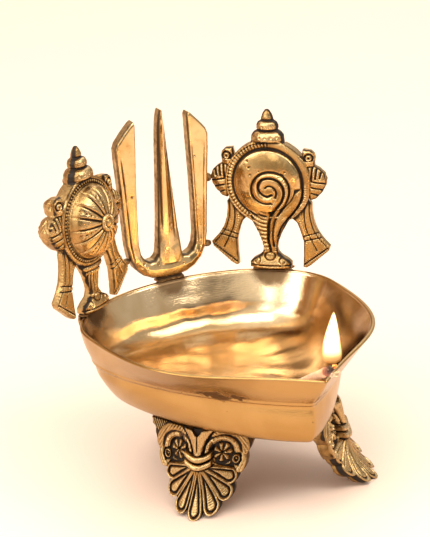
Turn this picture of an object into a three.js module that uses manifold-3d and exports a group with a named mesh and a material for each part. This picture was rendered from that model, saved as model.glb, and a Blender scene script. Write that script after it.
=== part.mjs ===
// Brass diya (oil lamp) with a pointed leaf-shaped bowl, three cast shell feet
// and three emblems brazed along the back rim: chakra disc, namam and conch.
// Millimetres, +Z up, spout towards -Y, left is -X.
import * as THREE from 'three';
import { mergeVertices } from 'three/addons/utils/BufferGeometryUtils.js';
import Module from 'manifold-3d';

// ---------------------------------------------------------------- dimensions
const CENTRE_X = 1.92;          // shift that puts the origin under the middle of the lamp
const CENTRE_Y = 26.10;
const RIM_Z = 66.3;             // top of the lip
const CREASE_Z = 52.5;          // shoulder between flared wall and lower drum
const BASE_Z = 35.4;            // flat underside of the drum
const FLOOR_Z = 40.6;           // deepest point of the oil hollow
const LIP = 1.9;                // lip thickness
const RIM_HALF_WIDTH = 57;      // widest half width, at y = 0
const RIM_BACK = 39.6;          // back edge of the rim
const RIM_TIP = 93.8;           // pointed spout
const CREASE = { x: 53.0, k: 20.0, tx: 31.0, ty: 22.0, tip: 82.1, back: 35.6 };
const BASE = { x: 45.6, k: 21.0, tx: 26.8, ty: 18.6, tip: 81.2, back: 29.5 };
const RIM = { x: RIM_HALF_WIDTH, k: 66, tx: 32.3, ty: 33.9, tip: RIM_TIP, back: RIM_BACK };
const BOWL_SEGMENTS = 76;

const GAP = 0.3;                // clearance between touching pieces
const BRAZE = 0.8;              // thickness of a braze seam

const FOOT_TOP_Z = BASE_Z - 2 * GAP - BRAZE;
const FOOT_THICK = 4.0;
// where a foot stands, which way it faces (degrees from the spout), how far its toe
// flares out and how far each half is swept back: hand-bent castings, no two alike
function footPlace(x, y, facing, flare, sweep) {
  const f = facing * Math.PI / 180;
  return { x, y, nx: Math.sin(f), ny: -Math.cos(f), flare, sweep: sweep * Math.PI / 180 };
}
const FEET = {
  front_left: footPlace(-28.7, -39.9, -44.4, 12.8, 24),
  front_right: footPlace(30.1, -44.2, 52.8, 16.5, 12),
  back: footPlace(0, 27, 180, 13, 20),
};
// height above the table, half width along the swept half, share of the flare
const FOOT_ROWS = [
  [0.0, 4.6, 1.0], [1.4, 7.6, 0.94], [3.4, 10.6, 0.82], [6.0, 13.0, 0.66], [9.0, 14.9, 0.50],
  [12.0, 16.0, 0.385], [15.5, 16.6, 0.295], [19.0, 17.2, 0.235], [22.0, 20.0, 0.18], [26.0, 22.4, 0.12],
  [30.0, 23.2, 0.07], [FOOT_TOP_Z, 24.4, 0.01],
];

const EMBLEMS = {
  chakra: { x: -42.3, y: 24.2, turn: 30.5 * Math.PI / 180, lean: 3.2 * Math.PI / 180 },
  conch: { x: 41.75, y: 25.43, turn: -42.43 * Math.PI / 180, lean: 1.5 * Math.PI / 180 },
};
const EMBLEM_FOOT_Z = RIM_Z + 2 * GAP + BRAZE;  // underside of each emblem base
const DISC_V = 39;              // disc centre above the rim
const DISC_R = 18.4;
const NAMAM_Y = 41.4;
const NAMAM_THICK = 5.6;

const WICK_R = 2.0;
const WICK_LENGTH = 51;
const WICK_TIP = { y: -96.0, z: 71.9 };
const WICK_SLOPE = 30 * Math.PI / 180;

// ------------------------------------------------------------------- helpers
const wasm = await Module();
wasm.setup();

const positionsOnly = (g) => {
  const c = g.clone();
  for (const name of Object.keys(c.attributes)) if (name !== 'position') c.deleteAttribute(name);
  return mergeVertices(c, 1e-4);
};

// turns every triangle round if the closed surface faces inwards
function outward(geometry) {
  const g = positionsOnly(geometry);
  const idx = g.index.array, p = g.attributes.position;
  let volume = 0;
  for (let i = 0; i < idx.length; i += 3) {
    const v = [0, 1, 2].map((k) => new THREE.Vector3().fromBufferAttribute(p, idx[i + k]));
    volume += v[0].dot(v[1].clone().cross(v[2])) / 6;
  }
  if (volume < 0) for (let i = 0; i < idx.length; i += 3) [idx[i + 1], idx[i + 2]] = [idx[i + 2], idx[i + 1]];
  g.computeVertexNormals();
  return g;
}

function solid(geometry) {
  const g = outward(geometry);
  const tri = [];
  for (let i = 0; i < g.index.count; i += 3) {
    const [a, b, c] = [g.index.getX(i), g.index.getX(i + 1), g.index.getX(i + 2)];
    if (a !== b && b !== c && a !== c) tri.push(a, b, c);
  }
  return new wasm.Manifold(new wasm.Mesh({
    numProp: 3,
    vertProperties: new Float32Array(g.attributes.position.array),
    triVerts: new Uint32Array(tri),
  }));
}

function geometryOf(manifold) {
  const m = manifold.getMesh();
  const g = new THREE.BufferGeometry();
  const p = new Float32Array(m.numVert * 3);
  for (let i = 0; i < m.numVert; i++)
    for (let k = 0; k < 3; k++) p[i * 3 + k] = m.vertProperties[i * m.numProp + k];
  g.setAttribute('position', new THREE.BufferAttribute(p, 3));
  g.setIndex(new THREE.BufferAttribute(new Uint32Array(m.triVerts), 1));
  g.computeVertexNormals();
  return g;
}

const join = (...geometries) =>
  geometryOf(geometries.map(solid).reduce((a, b) => a.add(b)));

const brass = (hex, roughness) =>
  new THREE.MeshStandardMaterial({ color: hex, roughness, metalness: 1 });
const POLISHED = () => brass(0xd0a352, 0.2);
const CAST = () => brass(0xb48a48, 0.42);
const SEAM = () => brass(0x5c4322, 0.6);
const COTTON = () => new THREE.MeshStandardMaterial({ color: 0xd8c6a4, roughness: 0.9, metalness: 0 });

const lamp = new THREE.Group();
lamp.position.set(CENTRE_X, CENTRE_Y, 0);

function add(name, geometry, material, parent = lamp) {
  const mesh = new THREE.Mesh(geometry, material);
  mesh.name = name;
  parent.add(mesh);
  return mesh;
}

// ------------------------------------------------------------ leaf outlines
// Polar radius of a leaf outline about the bowl axis. phi = 0 points at the spout.
function leafRadius(shape) {
  const front = new THREE.CubicBezierCurve(
    new THREE.Vector2(shape.x, 0), new THREE.Vector2(shape.x, -shape.k),
    new THREE.Vector2(shape.tx, -shape.tip + shape.ty), new THREE.Vector2(0, -shape.tip));
  const table = front.getPoints(600).map((p) => [Math.atan2(p.x, -p.y), p.length()]).reverse();
  return (phi) => {
    let a = Math.abs(Math.atan2(Math.sin(phi), Math.cos(phi)));
    if (a > Math.PI / 2) {
      const s = Math.sin(a), c = Math.cos(a);
      return 1 / Math.sqrt((s / shape.x) ** 2 + (c / shape.back) ** 2);
    }
    let i = 1;
    while (i < table.length - 1 && table[i][0] < a) i++;
    const [a0, r0] = table[i - 1], [a1, r1] = table[i];
    return r0 + (r1 - r0) * (a - a0) / (a1 - a0 || 1);
  };
}
const rimR = leafRadius(RIM), creaseR = leafRadius(CREASE), baseR = leafRadius(BASE);
const mix = (a, b, t) => a + (b - a) * t;

// outer radius of the bowl wall at angle phi and height z
function wallR(phi, z) {
  if (z >= CREASE_Z) return mix(creaseR(phi), rimR(phi), Math.min(1, (z - CREASE_Z) / (RIM_Z - CREASE_Z)));
  return mix(baseR(phi), creaseR(phi), (z - BASE_Z) / (CREASE_Z - BASE_Z));
}

// ---------------------------------------------------------------------- bowl
// Closed section from the middle of the floor, up the inside, over the lip,
// down the outside and back to the axis. Each entry gives radius and height.
const section = [
  [() => 0, FLOOR_Z],
  [(p) => 0.30 * creaseR(p), FLOOR_Z + 0.3],
  [(p) => 0.55 * creaseR(p), FLOOR_Z + 1.5],
  [(p) => 0.74 * creaseR(p), FLOOR_Z + 4.0],
  [(p) => 0.86 * creaseR(p), FLOOR_Z + 8.2],
  [(p) => mix(creaseR(p), rimR(p), 0.12) - 4.0, 54.6],
  [(p) => mix(creaseR(p), rimR(p), 0.48) - 3.0, 59.6],
  [(p) => rimR(p) - LIP - 0.6, 64.6],
  [(p) => rimR(p) - LIP, RIM_Z - 0.4],
  [(p) => rimR(p) - LIP + 0.4, RIM_Z],
  [(p) => rimR(p) - 0.4, RIM_Z],
  [(p) => rimR(p), RIM_Z - 0.5],
  [(p) => mix(creaseR(p), rimR(p), 0.62), 59.8],
  [(p) => mix(creaseR(p), rimR(p), 0.06), 53.2],
  [(p) => creaseR(p) - 0.1, 52.2],
  [(p) => mix(baseR(p), creaseR(p), 0.62), 44.0],
  [(p) => baseR(p), 38.4],
  [(p) => baseR(p) - 1.0, 36.3],
  [(p) => baseR(p) - 3.4, BASE_Z],
  [() => 0, BASE_Z],
];

function bowlGeometry() {
  const g = new THREE.LatheGeometry(
    section.map((s, j) => new THREE.Vector2(j === 0 || j === section.length - 1 ? 0 : 10, s[1])), BOWL_SEGMENTS);
  const p = g.attributes.position, n = section.length;
  for (let i = 0; i < p.count; i++) {
    const turn = Math.floor(i / n), j = i % n;
    // steps are closer together near the spout
    const t = 2 * Math.PI * turn / BOWL_SEGMENTS;
    const phi = t - 0.45 * Math.sin(t);
    const r = section[j][0](turn === BOWL_SEGMENTS ? 0 : phi);
    const a = turn === BOWL_SEGMENTS ? 0 : phi;
    p.setXYZ(i, r * Math.sin(a), -r * Math.cos(a), section[j][1]);
  }
  return geometryOf(solid(g));
}
add('bowl', bowlGeometry(), POLISHED());

// ------------------------------------------------------------------- feet
function rowAt(z) {
  let i = 1;
  while (i < FOOT_ROWS.length - 1 && FOOT_ROWS[i][0] < z) i++;
  const a = FOOT_ROWS[i - 1], b = FOOT_ROWS[i], t = (z - a[0]) / (b[0] - a[0]);
  return [mix(a[1], b[1], t), mix(a[2], b[2], t)];
}

// Swept plate: a runs over the width (-1..1), b through the thickness (0 face, 1 back)
function sweptPlate(place, z0, z1, widthScale, face, thick, nx, nz) {
  const g = new THREE.BoxGeometry(2, 1, 1, nx, 1, nz);
  const p = g.attributes.position;
  const side = { x: -place.ny, y: place.nx };
  for (let i = 0; i < p.count; i++) {
    const a = p.getX(i), b = 0.5 - p.getY(i), z = mix(z0, z1, p.getZ(i) + 0.5);
    const [half, out] = rowAt(z);
    const s = a * half * widthScale;
    const u = s * Math.cos(place.sweep);
    const n = out * place.flare - face - b * thick - Math.abs(s) * Math.sin(place.sweep);
    p.setXYZ(i, place.x + side.x * u + place.nx * n, place.y + side.y * u + place.ny * n, z);
  }
  return g;
}

const footPlate = (...args) => outward(sweptPlate(...args));

for (const [where, place] of Object.entries(FEET)) {
  add(`foot_${where}`, footPlate(place, 0, FOOT_TOP_Z, 1, 0, FOOT_THICK, 14, 16), CAST());
  const seam = footPlate(place, FOOT_TOP_Z - 0.01, FOOT_TOP_Z, 0.9, 1.4, FOOT_THICK, 6, 1);
  const q = seam.attributes.position;
  for (let i = 0; i < q.count; i++) {
    const top = q.getZ(i) > FOOT_TOP_Z - 0.005;
    q.setZ(i, FOOT_TOP_Z + GAP + (top ? BRAZE : 0));
  }
  seam.computeVertexNormals();
  add(`foot_braze_${where}`, seam, SEAM());
}

// -------------------------------------------------- rim lugs and base seams
// A block that follows the outside of the wall: a across, b outward, c up
function wallBlock(phi0, halfWidth, nx, nz, zAt, inner, outer) {
  const g = new THREE.BoxGeometry(2, 1, 1, nx, 1, nz);
  const p = g.attributes.position;
  const r0 = rimR(phi0);
  for (let i = 0; i < p.count; i++) {
    const a = p.getX(i), b = p.getY(i) + 0.5, c = p.getZ(i) + 0.5;
    const z = zAt(a, c), phi = phi0 + a * halfWidth(c) / r0;
    const r = mix(inner(phi, z, a, c), outer(phi, z, a, c), b);
    p.setXYZ(i, r * Math.sin(phi), -r * Math.cos(phi), z);
  }
  return outward(g);
}

const polarOf = ({ x, y }) => Math.atan2(x, -y);   // angle from the spout
const STATIONS = { chakra: [polarOf(EMBLEMS.chakra), 8.4], conch: [polarOf(EMBLEMS.conch), 8.4], namam: [Math.PI, 7.0] };
for (const [name, [phi, half]] of Object.entries(STATIONS)) {
  const depth = name === 'namam' ? 11 : 15;
  const bulge = name === 'namam' ? 2.2 : 3.0;
  add(`${name}_rim_lug`, wallBlock(phi, (c) => half * (0.55 + 0.45 * Math.sin(Math.min(1, c * 1.5) * Math.PI / 2)), 8, 6,
    (a, c) => RIM_Z - 0.3 - depth * (1 - c),
    (f, z) => wallR(f, z) + GAP + 0.25,
    (f, z, a, c) => wallR(f, z) + GAP + 0.75 + bulge * Math.sqrt(Math.max(0, 1 - a * a * 0.8)) * Math.sin(Math.min(1, 0.12 + c) * Math.PI * 0.62)), CAST());
  add(`${name}_base_braze`, wallBlock(phi, () => half * 0.9, 6, 1,
    (a, c) => RIM_Z + GAP + BRAZE * c,
    (f) => rimR(f) - LIP - 0.3,
    (f) => rimR(f) + 1.6), SEAM());
}

// ------------------------------------------------------------------- emblems
// Frame of an emblem: x across, z up from the rim, front face towards -y.
function emblemGroup({ x, y, turn, lean }) {
  const g = new THREE.Group();
  g.position.set(x, y, RIM_Z);
  g.rotation.order = 'ZXY';
  g.rotation.z = turn;
  g.rotation.x = -lean;
  lamp.add(g);
  return g;
}

const shapeOf = (points) => new THREE.Shape(points.map(([x, y]) => new THREE.Vector2(x, y)));
function plate(points, thick, bevel) {
  const g = new THREE.ExtrudeGeometry(shapeOf(points), {
    depth: thick - 2 * bevel, bevelEnabled: bevel > 0, bevelThickness: bevel,
    bevelSize: bevel, bevelOffset: -bevel, bevelSegments: 1, steps: 1, curveSegments: 6,
  });
  g.rotateX(Math.PI / 2);
  g.translate(0, thick / 2 - bevel, 0);
  return g;
}
// lathe about the emblem's facing direction, centred on the disc
function facing(profile, segments) {
  const g = new THREE.LatheGeometry(profile.map(([r, d]) => new THREE.Vector2(r, d)), segments);
  g.rotateX(Math.PI);
  g.translate(0, 0, DISC_V);
  return g;
}
// lathe about the upright axis, flattened front to back
function upright(profile, segments, flatten) {
  const g = new THREE.LatheGeometry(profile.map(([r, z]) => new THREE.Vector2(r, z)), segments);
  g.rotateX(Math.PI / 2);
  g.scale(1, flatten, 1);
  return g;
}

// half outline of wing, ribbon and neck, on +x
const WING = [
  [14.0, 53.0], [16.2, 53.2], [18.6, 52.8], [20.2, 50.8], [20.0, 48.4], [20.8, 45.8], [23.4, 43.6],
  [25.2, 40.6], [24.2, 38.6], [21.8, 35.0], [19.2, 32.2], [18.4, 31.0],
];
const RIBBON = [
  [18.2, 27.5], [18.8, 22.6], [20.2, 18.4], [22.6, 14.9], [25.6, 11.6], [24.4, 8.6],
  [18.6, 4.2], [15.2, 1.5], [13.6, 1.7], [14.2, 7.0], [14.2, 12.9], [13.0, 18.0], [11.6, 21.4],
];
function emblemPlate() {
  const half = [...WING, ...RIBBON, [8.5, 22.4]];
  return plate([...half, ...half.map(([x, y]) => [-x, y]).reverse()], 4.0, 0.5);
}
const crown = () => upright([
  [0, 53.5], [7.2, 53.5], [7.6, 56.4], [7.2, 58.6], [5.2, 59.6], [4.4, 59.8], [4.9, 61.2], [4.3, 63.0],
  [3.0, 63.6], [3.1, 65.0], [2.2, 67.6], [1.0, 69.8], [0, 70.4],
], 16, 0.8);
const stem = () => upright([
  [0, EMBLEM_FOOT_Z - RIM_Z], [8.6, EMBLEM_FOOT_Z - RIM_Z], [9.0, 3.4], [7.2, 5.4], [4.2, 7.4],
  [3.2, 10.0], [3.3, 13.0], [4.6, 17.4], [7.2, 21.5], [7.2, 24.0], [0, 24.0],
], 20, 0.5);
const disc = (rise) => facing([
  [0, -3.4], [12.0, -3.4], [16.8, -3.0], [DISC_R, -1.8], [DISC_R, 2.2], [17.6, 3.2], [16.0, 3.4],
  [14.9, 2.8], [13.2, 2.8 + rise * 0.34], [9.6, 2.8 + rise * 0.68], [5.0, 2.8 + rise * 0.93], [0, 2.8 + rise],
], 32);

const chakra = emblemGroup(EMBLEMS.chakra);
add('chakra_emblem', join(emblemPlate(), disc(6.4), crown(), stem()), CAST(), chakra);
const conch = emblemGroup(EMBLEMS.conch);
add('conch_emblem', join(emblemPlate(), disc(3.4), crown(), stem()), CAST(), conch);

const NAMAM_HALF = [
  [0.9, 73.2], [1.8, 66.0], [2.9, 50.0], [4.1, 34.0], [5.0, 20.0], [5.8, 13.4], [7.0, 10.8], [9.0, 9.8],
  [11.4, 11.2], [12.8, 14.0], [13.4, 18.0], [13.0, 40.0], [12.2, 62.0], [12.0, 70.0], [13.0, 71.0],
  [20.2, 63.4], [21.4, 61.0], [20.6, 48.0], [19.4, 28.0], [18.6, 16.0], [16.6, 9.6], [12.6, 4.4], [7.6, EMBLEM_FOOT_Z - RIM_Z],
];
const namam = emblemGroup({ x: 0, y: NAMAM_Y, turn: 0, lean: 0 });
add('namam_emblem', geometryOf(solid(plate(
  [[0, 74.5], ...NAMAM_HALF, ...NAMAM_HALF.map(([x, y]) => [-x, y]).reverse()], NAMAM_THICK, 0.9))), POLISHED(), namam);

// -------------------------------------- side seams between emblems and namam
function bead(name, from, to, radius) {
  const a = new THREE.Vector3(...from), b = new THREE.Vector3(...to), d = b.clone().sub(a);
  const g = new THREE.CylinderGeometry(radius, radius, d.length(), 8, 1);
  g.applyQuaternion(new THREE.Quaternion().setFromUnitVectors(new THREE.Vector3(0, 1, 0), d.normalize()));
  g.translate((a.x + b.x) / 2, (a.y + b.y) / 2, (a.z + b.z) / 2);
  add(name, g, SEAM());
}
bead('conch_wing_braze', [20.5, 42.4, RIM_Z + 40.4], [22.0, 42.4, RIM_Z + 40.4], 1.0);
bead('conch_ribbon_braze', [17.9, 42.0, RIM_Z + 11.4], [21.0, 42.0, RIM_Z + 11.4], 1.1);
bead('chakra_wing_braze', [-21.3, 40.5, RIM_Z + 39.4], [-21.3, 40.5, RIM_Z + 41.4], 0.8);
bead('chakra_ribbon_braze', [-18.3, 40.2, RIM_Z + 11.4], [-20.4, 40.2, RIM_Z + 11.4], 0.8);

// ---------------------------------------------------------------------- wick
// Rolled cotton lying up the spout, charred at the tip; it is pushed up along its own length.
const wick = new THREE.Group();
wick.position.set(0, WICK_TIP.y, WICK_TIP.z);
wick.rotation.x = Math.PI / 2 - WICK_SLOPE;   // local +Z climbs towards the spout
lamp.add(wick);
const roll = new THREE.LatheGeometry([
  [0, -WICK_LENGTH], [WICK_R * 0.7, -WICK_LENGTH], [WICK_R, -WICK_LENGTH + 3], [WICK_R, -7], [WICK_R * 0.85, -3], [WICK_R * 0.45, 0], [0, 0],
].map(([r, y]) => new THREE.Vector2(r, y)), 14);
roll.rotateX(Math.PI / 2);
add('wick', geometryOf(solid(roll)), COTTON(), wick);

export default lamp;
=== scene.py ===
"""Brass diya with a leaf-shaped bowl, shell feet and three emblems: the visible meshes, materials, light and camera.

Design lengths are in millimetres in the lamp's own axes: the bowl's widest line is y = 0, the spout is -y, +z is up.
mm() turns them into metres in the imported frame.
"""

import math

import bpy
import numpy as np
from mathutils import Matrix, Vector


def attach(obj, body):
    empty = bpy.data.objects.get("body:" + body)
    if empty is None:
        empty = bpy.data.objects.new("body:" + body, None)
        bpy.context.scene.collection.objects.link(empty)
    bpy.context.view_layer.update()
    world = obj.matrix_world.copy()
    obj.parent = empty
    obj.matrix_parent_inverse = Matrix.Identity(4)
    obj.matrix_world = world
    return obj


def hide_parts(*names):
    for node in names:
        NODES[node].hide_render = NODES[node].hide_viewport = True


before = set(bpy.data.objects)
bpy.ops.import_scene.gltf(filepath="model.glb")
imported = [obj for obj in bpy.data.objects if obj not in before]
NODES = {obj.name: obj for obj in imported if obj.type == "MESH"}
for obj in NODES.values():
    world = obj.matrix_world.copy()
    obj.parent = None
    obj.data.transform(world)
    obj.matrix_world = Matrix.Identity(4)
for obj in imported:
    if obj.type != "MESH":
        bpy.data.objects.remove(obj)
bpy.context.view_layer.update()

CENTRE_X, CENTRE_Y = 1.92, 26.10
RIM_Z, CREASE_Z, BASE_Z, FLOOR_Z, LIP = 66.3, 52.5, 35.4, 40.6, 1.9
RIM = dict(x=57.0, k=66.0, tx=32.3, ty=33.9, tip=93.8, back=39.6)
CREASE = dict(x=53.0, k=20.0, tx=31.0, ty=22.0, tip=82.1, back=35.6)
BASE = dict(x=45.6, k=21.0, tx=26.8, ty=18.6, tip=81.2, back=29.5)
GAP, BRAZE = 0.3, 0.8
FOOT_TOP_Z = BASE_Z - 2 * GAP - BRAZE
FOOT_ROWS = np.array([   # height, share of the flare
    [0.0, 1.0], [1.4, 0.94], [3.4, 0.82], [6.0, 0.66], [9.0, 0.50], [12.0, 0.385], [15.5, 0.295],
    [19.0, 0.235], [22.0, 0.18], [26.0, 0.12], [30.0, 0.07], [FOOT_TOP_Z, 0.01]])
FEET = {   # place, facing and sweep in degrees, flare
    "foot_front_left": (-28.7, -39.9, -44.4, 12.8, 24), "foot_front_right": (30.1, -44.2, 52.8, 16.5, 12), "foot_back": (0, 27, 180, 13, 20)}
EMBLEMS = {   # place, turn and lean in degrees
    "chakra": (-42.3, 24.2, 30.5, 3.2), "conch": (41.75, 25.43, -42.43, 1.5)}
EMBLEM_V0 = 2 * GAP + BRAZE
DISC_V, DISC_R = 39.0, 18.4
NAMAM_Y, NAMAM_T = 41.4, 5.6
WICK_TIP, WICK_LEN, WICK_R, WICK_SLOPE = (0.0, -96.0, 71.9), 51.0, 2.0, math.radians(30)


# ------------------------------------------------------------------ numeric helpers
def mm(p):
    """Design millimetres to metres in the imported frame."""
    p = np.asarray(p, float)
    return (p + [CENTRE_X, CENTRE_Y, 0.0]) * 0.001


def sstep(a, b, x):
    t = np.clip((x - a) / (b - a), 0, 1)
    return t * t * (3 - 2 * t)


def smin(a, b, k):
    h = np.clip(0.5 + 0.5 * (b - a) / k, 0, 1)
    return b + (a - b) * h - k * h * (1 - h)


def smax(a, b, k):
    return -smin(-a, -b, k)


def line(u, v, pts):
    """Distance to a polyline, and the length along it at the nearest point."""
    pts = np.asarray(pts, float)
    best = np.full(np.shape(u), 1e9)
    along = np.zeros(np.shape(u))
    run = 0.0
    for (x0, y0), (x1, y1) in zip(pts[:-1], pts[1:]):
        dx, dy = x1 - x0, y1 - y0
        ln = math.hypot(dx, dy) + 1e-9
        t = np.clip(((u - x0) * dx + (v - y0) * dy) / (ln * ln), 0, 1)
        d = np.hypot(u - x0 - t * dx, v - y0 - t * dy)
        m = d < best
        best = np.where(m, d, best)
        along = np.where(m, run + t * ln, along)
        run += ln
    return best, along


def poly(u, v, pts):
    """Signed distance to a closed polygon, negative inside."""
    pts = np.asarray(pts, float)
    d, _ = line(u, v, np.vstack([pts, pts[:1]]))
    inside = np.zeros(np.shape(u), bool)
    for (x0, y0), (x1, y1) in zip(pts, np.roll(pts, -1, 0)):
        c = ((y0 > v) != (y1 > v)) & (u < (x1 - x0) * (v - y0) / ((y1 - y0) or 1e-12) + x0)
        inside ^= c
    return np.where(inside, -d, d)


def curve(pts, n=10):
    """Catmull-Rom through the points."""
    p = np.asarray(pts, float)
    p = np.vstack([2 * p[0] - p[1], p, 2 * p[-1] - p[-2]])
    out = []
    for i in range(1, len(p) - 2):
        a, b, c, d = p[i - 1:i + 3]
        for t in np.linspace(0, 1, n, endpoint=False):
            out.append(0.5 * ((2 * b) + (c - a) * t + (2 * a - 5 * b + 4 * c - d) * t * t + (-a + 3 * b - 3 * c + d) * t ** 3))
    out.append(p[-2])
    return np.array(out)


def groove(d, width, depth):
    """A cut with a soft V section."""
    return -depth * np.exp(-(d / (0.5 * width)) ** 2)


def bead(d, half, height):
    """A half-round strip."""
    return height * np.sqrt(np.clip(1 - (d / half) ** 2, 0, 1))


def hash2(i, j, seed=0):
    x = np.sin(i * 127.1 + j * 311.7 + seed * 74.7) * 43758.5453
    return x - np.floor(x)


def noise2(x, y, seed=0):
    xi, yi = np.floor(x), np.floor(y)
    xf, yf = x - xi, y - yi
    xf, yf = xf * xf * (3 - 2 * xf), yf * yf * (3 - 2 * yf)
    a, b = hash2(xi, yi, seed), hash2(xi + 1, yi, seed)
    c, d = hash2(xi, yi + 1, seed), hash2(xi + 1, yi + 1, seed)
    return (a + (b - a) * xf) * (1 - yf) + (c + (d - c) * xf) * yf - 0.5


def blur(a, mask, sigma):
    """Gaussian blur of a on the mask only."""
    r = max(1, int(3 * sigma))
    k = np.exp(-0.5 * (np.arange(-r, r + 1) / sigma) ** 2)
    k /= k.sum()

    def sep(x):
        for ax in (0, 1):
            pad = [(0, 0), (0, 0)]
            pad[ax] = (r, r)
            y = np.pad(x, pad)
            n = x.shape[ax]
            x = sum(w * np.take(y, range(i, i + n), ax) for i, w in enumerate(k))
        return x
    return sep(a * mask) / np.maximum(sep(mask.astype(float)), 1e-6)


def sample(grid, us, vs, u, v):
    """Bilinear read of grid at (u, v)."""
    x = np.clip((u - us[0]) / (us[1] - us[0]), 0, len(us) - 1.001)
    y = np.clip((v - vs[0]) / (vs[1] - vs[0]), 0, len(vs) - 1.001)
    i, j = x.astype(int), y.astype(int)
    f, g = x - i, y - j
    return (grid[i, j] * (1 - f) + grid[i + 1, j] * f) * (1 - g) + (grid[i, j + 1] * (1 - f) + grid[i + 1, j + 1] * f) * g


# -------------------------------------------------------------- mesh from a field
def surface_nets(f, us, vs, ws):
    """Closed quad mesh of f = 0, f < 0 inside."""
    s = f < 0
    nx, ny, nz = f.shape
    cx, cy, cz = nx - 1, ny - 1, nz - 1
    count = np.zeros((cx, cy, cz), np.int8)
    pos = np.zeros((3, cx, cy, cz), np.float32)
    off = [(a, b, c) for a in (0, 1) for b in (0, 1) for c in (0, 1)]
    for a in off:
        for ax in range(3):
            if a[ax]:
                continue
            b = list(a)
            b[ax] = 1
            fa = f[a[0]:a[0] + cx, a[1]:a[1] + cy, a[2]:a[2] + cz]
            fb = f[b[0]:b[0] + cx, b[1]:b[1] + cy, b[2]:b[2] + cz]
            cross = (fa < 0) != (fb < 0)
            with np.errstate(divide="ignore", invalid="ignore"):
                t = np.where(cross, fa / (fa - fb), 0).astype(np.float32)
            count += cross
            for k in range(3):
                pos[k] += np.where(cross, t if k == ax else a[k], 0)
    act = count > 0
    ids = np.full(act.shape, -1, np.int64)
    ids[act] = np.arange(act.sum())
    i, j, k = np.nonzero(act)
    n = count[act].astype(float)
    du, dv, dw = us[1] - us[0], vs[1] - vs[0], ws[1] - ws[0]
    verts = np.stack([us[0] + (i + pos[0][act] / n) * du, vs[0] + (j + pos[1][act] / n) * dv,
                      ws[0] + (k + pos[2][act] / n) * dw], 1)
    quads = []
    for ax in range(3):
        o = [1, 1, 1]
        o[ax] = 0
        sl = [slice(o[0], None), slice(o[1], None), slice(o[2], None)]
        # grid edges along this axis, away from the outer border
        lo = [slice(1, -1)] * 3
        hi = [slice(1, -1)] * 3
        lo[ax] = slice(0, -1)
        hi[ax] = slice(1, None)
        e0, e1 = s[tuple(lo)], s[tuple(hi)]
        x, y, z = np.nonzero(e0 != e1)
        flip = e0[x, y, z]
        p = [x, y, z]
        b1, b2 = [(1, 2), (2, 0), (0, 1)][ax]
        base = [x + (0 if ax == 0 else 1), y + (0 if ax == 1 else 1), z + (0 if ax == 2 else 1)]

        def cell(d1, d2):
            q = [c.copy() for c in base]
            q[b1] = q[b1] - d1
            q[b2] = q[b2] - d2
            return ids[q[0], q[1], q[2]]
        c00, c10, c11, c01 = cell(0, 0), cell(1, 0), cell(1, 1), cell(0, 1)
        q = np.stack([c11, c01, c00, c10], 1)
        q[~flip] = q[~flip][:, ::-1]
        quads.append(q)
    return verts, np.concatenate(quads)


def relief(F, B, S, box, step=0.22, dw=0.4, rnd=0.45, side=None, w_pad=1.0):
    """A plate whose front face is w = F(u, v), back face w = B(u, v) and outline S(u, v) = 0.
    Returns vertices (u, v, w), quads, and how deep in a recess each vertex lies (-1 proud to 1 sunk)."""
    u0, u1, v0, v1 = box
    us = np.arange(u0 - 3 * step, u1 + 3 * step, step)
    vs = np.arange(v0 - 3 * step, v1 + 3 * step, step)
    U, V = np.meshgrid(us, vs, indexing="ij")
    f2, b2, s2 = F(U, V), B(U, V), S(U, V)
    inside = s2 < 0.3
    ws = np.arange(b2[inside].min() - w_pad, f2[inside].max() + w_pad, dw)
    W = ws[None, None, :]
    body = smax((W - f2[..., None]), (b2[..., None] - W), 0.3)
    f = smax(s2[..., None] + 0 * W, body, rnd)
    if side is not None:
        f = f + side(U[..., None], V[..., None], W)
    f = f.astype(np.float32)
    verts, quads = surface_nets(f, us, vs, ws)
    u, v, w = verts.T
    fs, bs, ss = F(u, v), sample(b2, us, vs, u, v), sample(s2, us, vs, u, v)
    snap = (ss < -rnd * 1.05) & (np.abs(w - fs) < 1.6 * dw) & (fs - bs > 1.0)
    w = np.where(snap, fs, w)
    verts = np.stack([u, v, w], 1)
    soft1 = blur(f2, s2 < 0, 0.8 / step)
    soft2 = blur(f2, s2 < 0, 2.4 / step)
    d1 = sample(soft1, us, vs, u, v) - fs
    d2 = sample(soft2, us, vs, u, v) - fs
    cav = np.clip(0.62 * d1 / 0.40 + 0.38 * d2 / 1.1, -1, 1)
    gu, gv = np.gradient(soft1, step)
    cav = cav * (0.15 + 0.85 * sstep(1.5, 0.6, sample(np.hypot(gu, gv), us, vs, u, v)))
    front = sstep(-0.9, -0.1, w - fs)
    cav = cav * front + 0.10 * (1 - front)
    return verts, quads, cav


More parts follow.
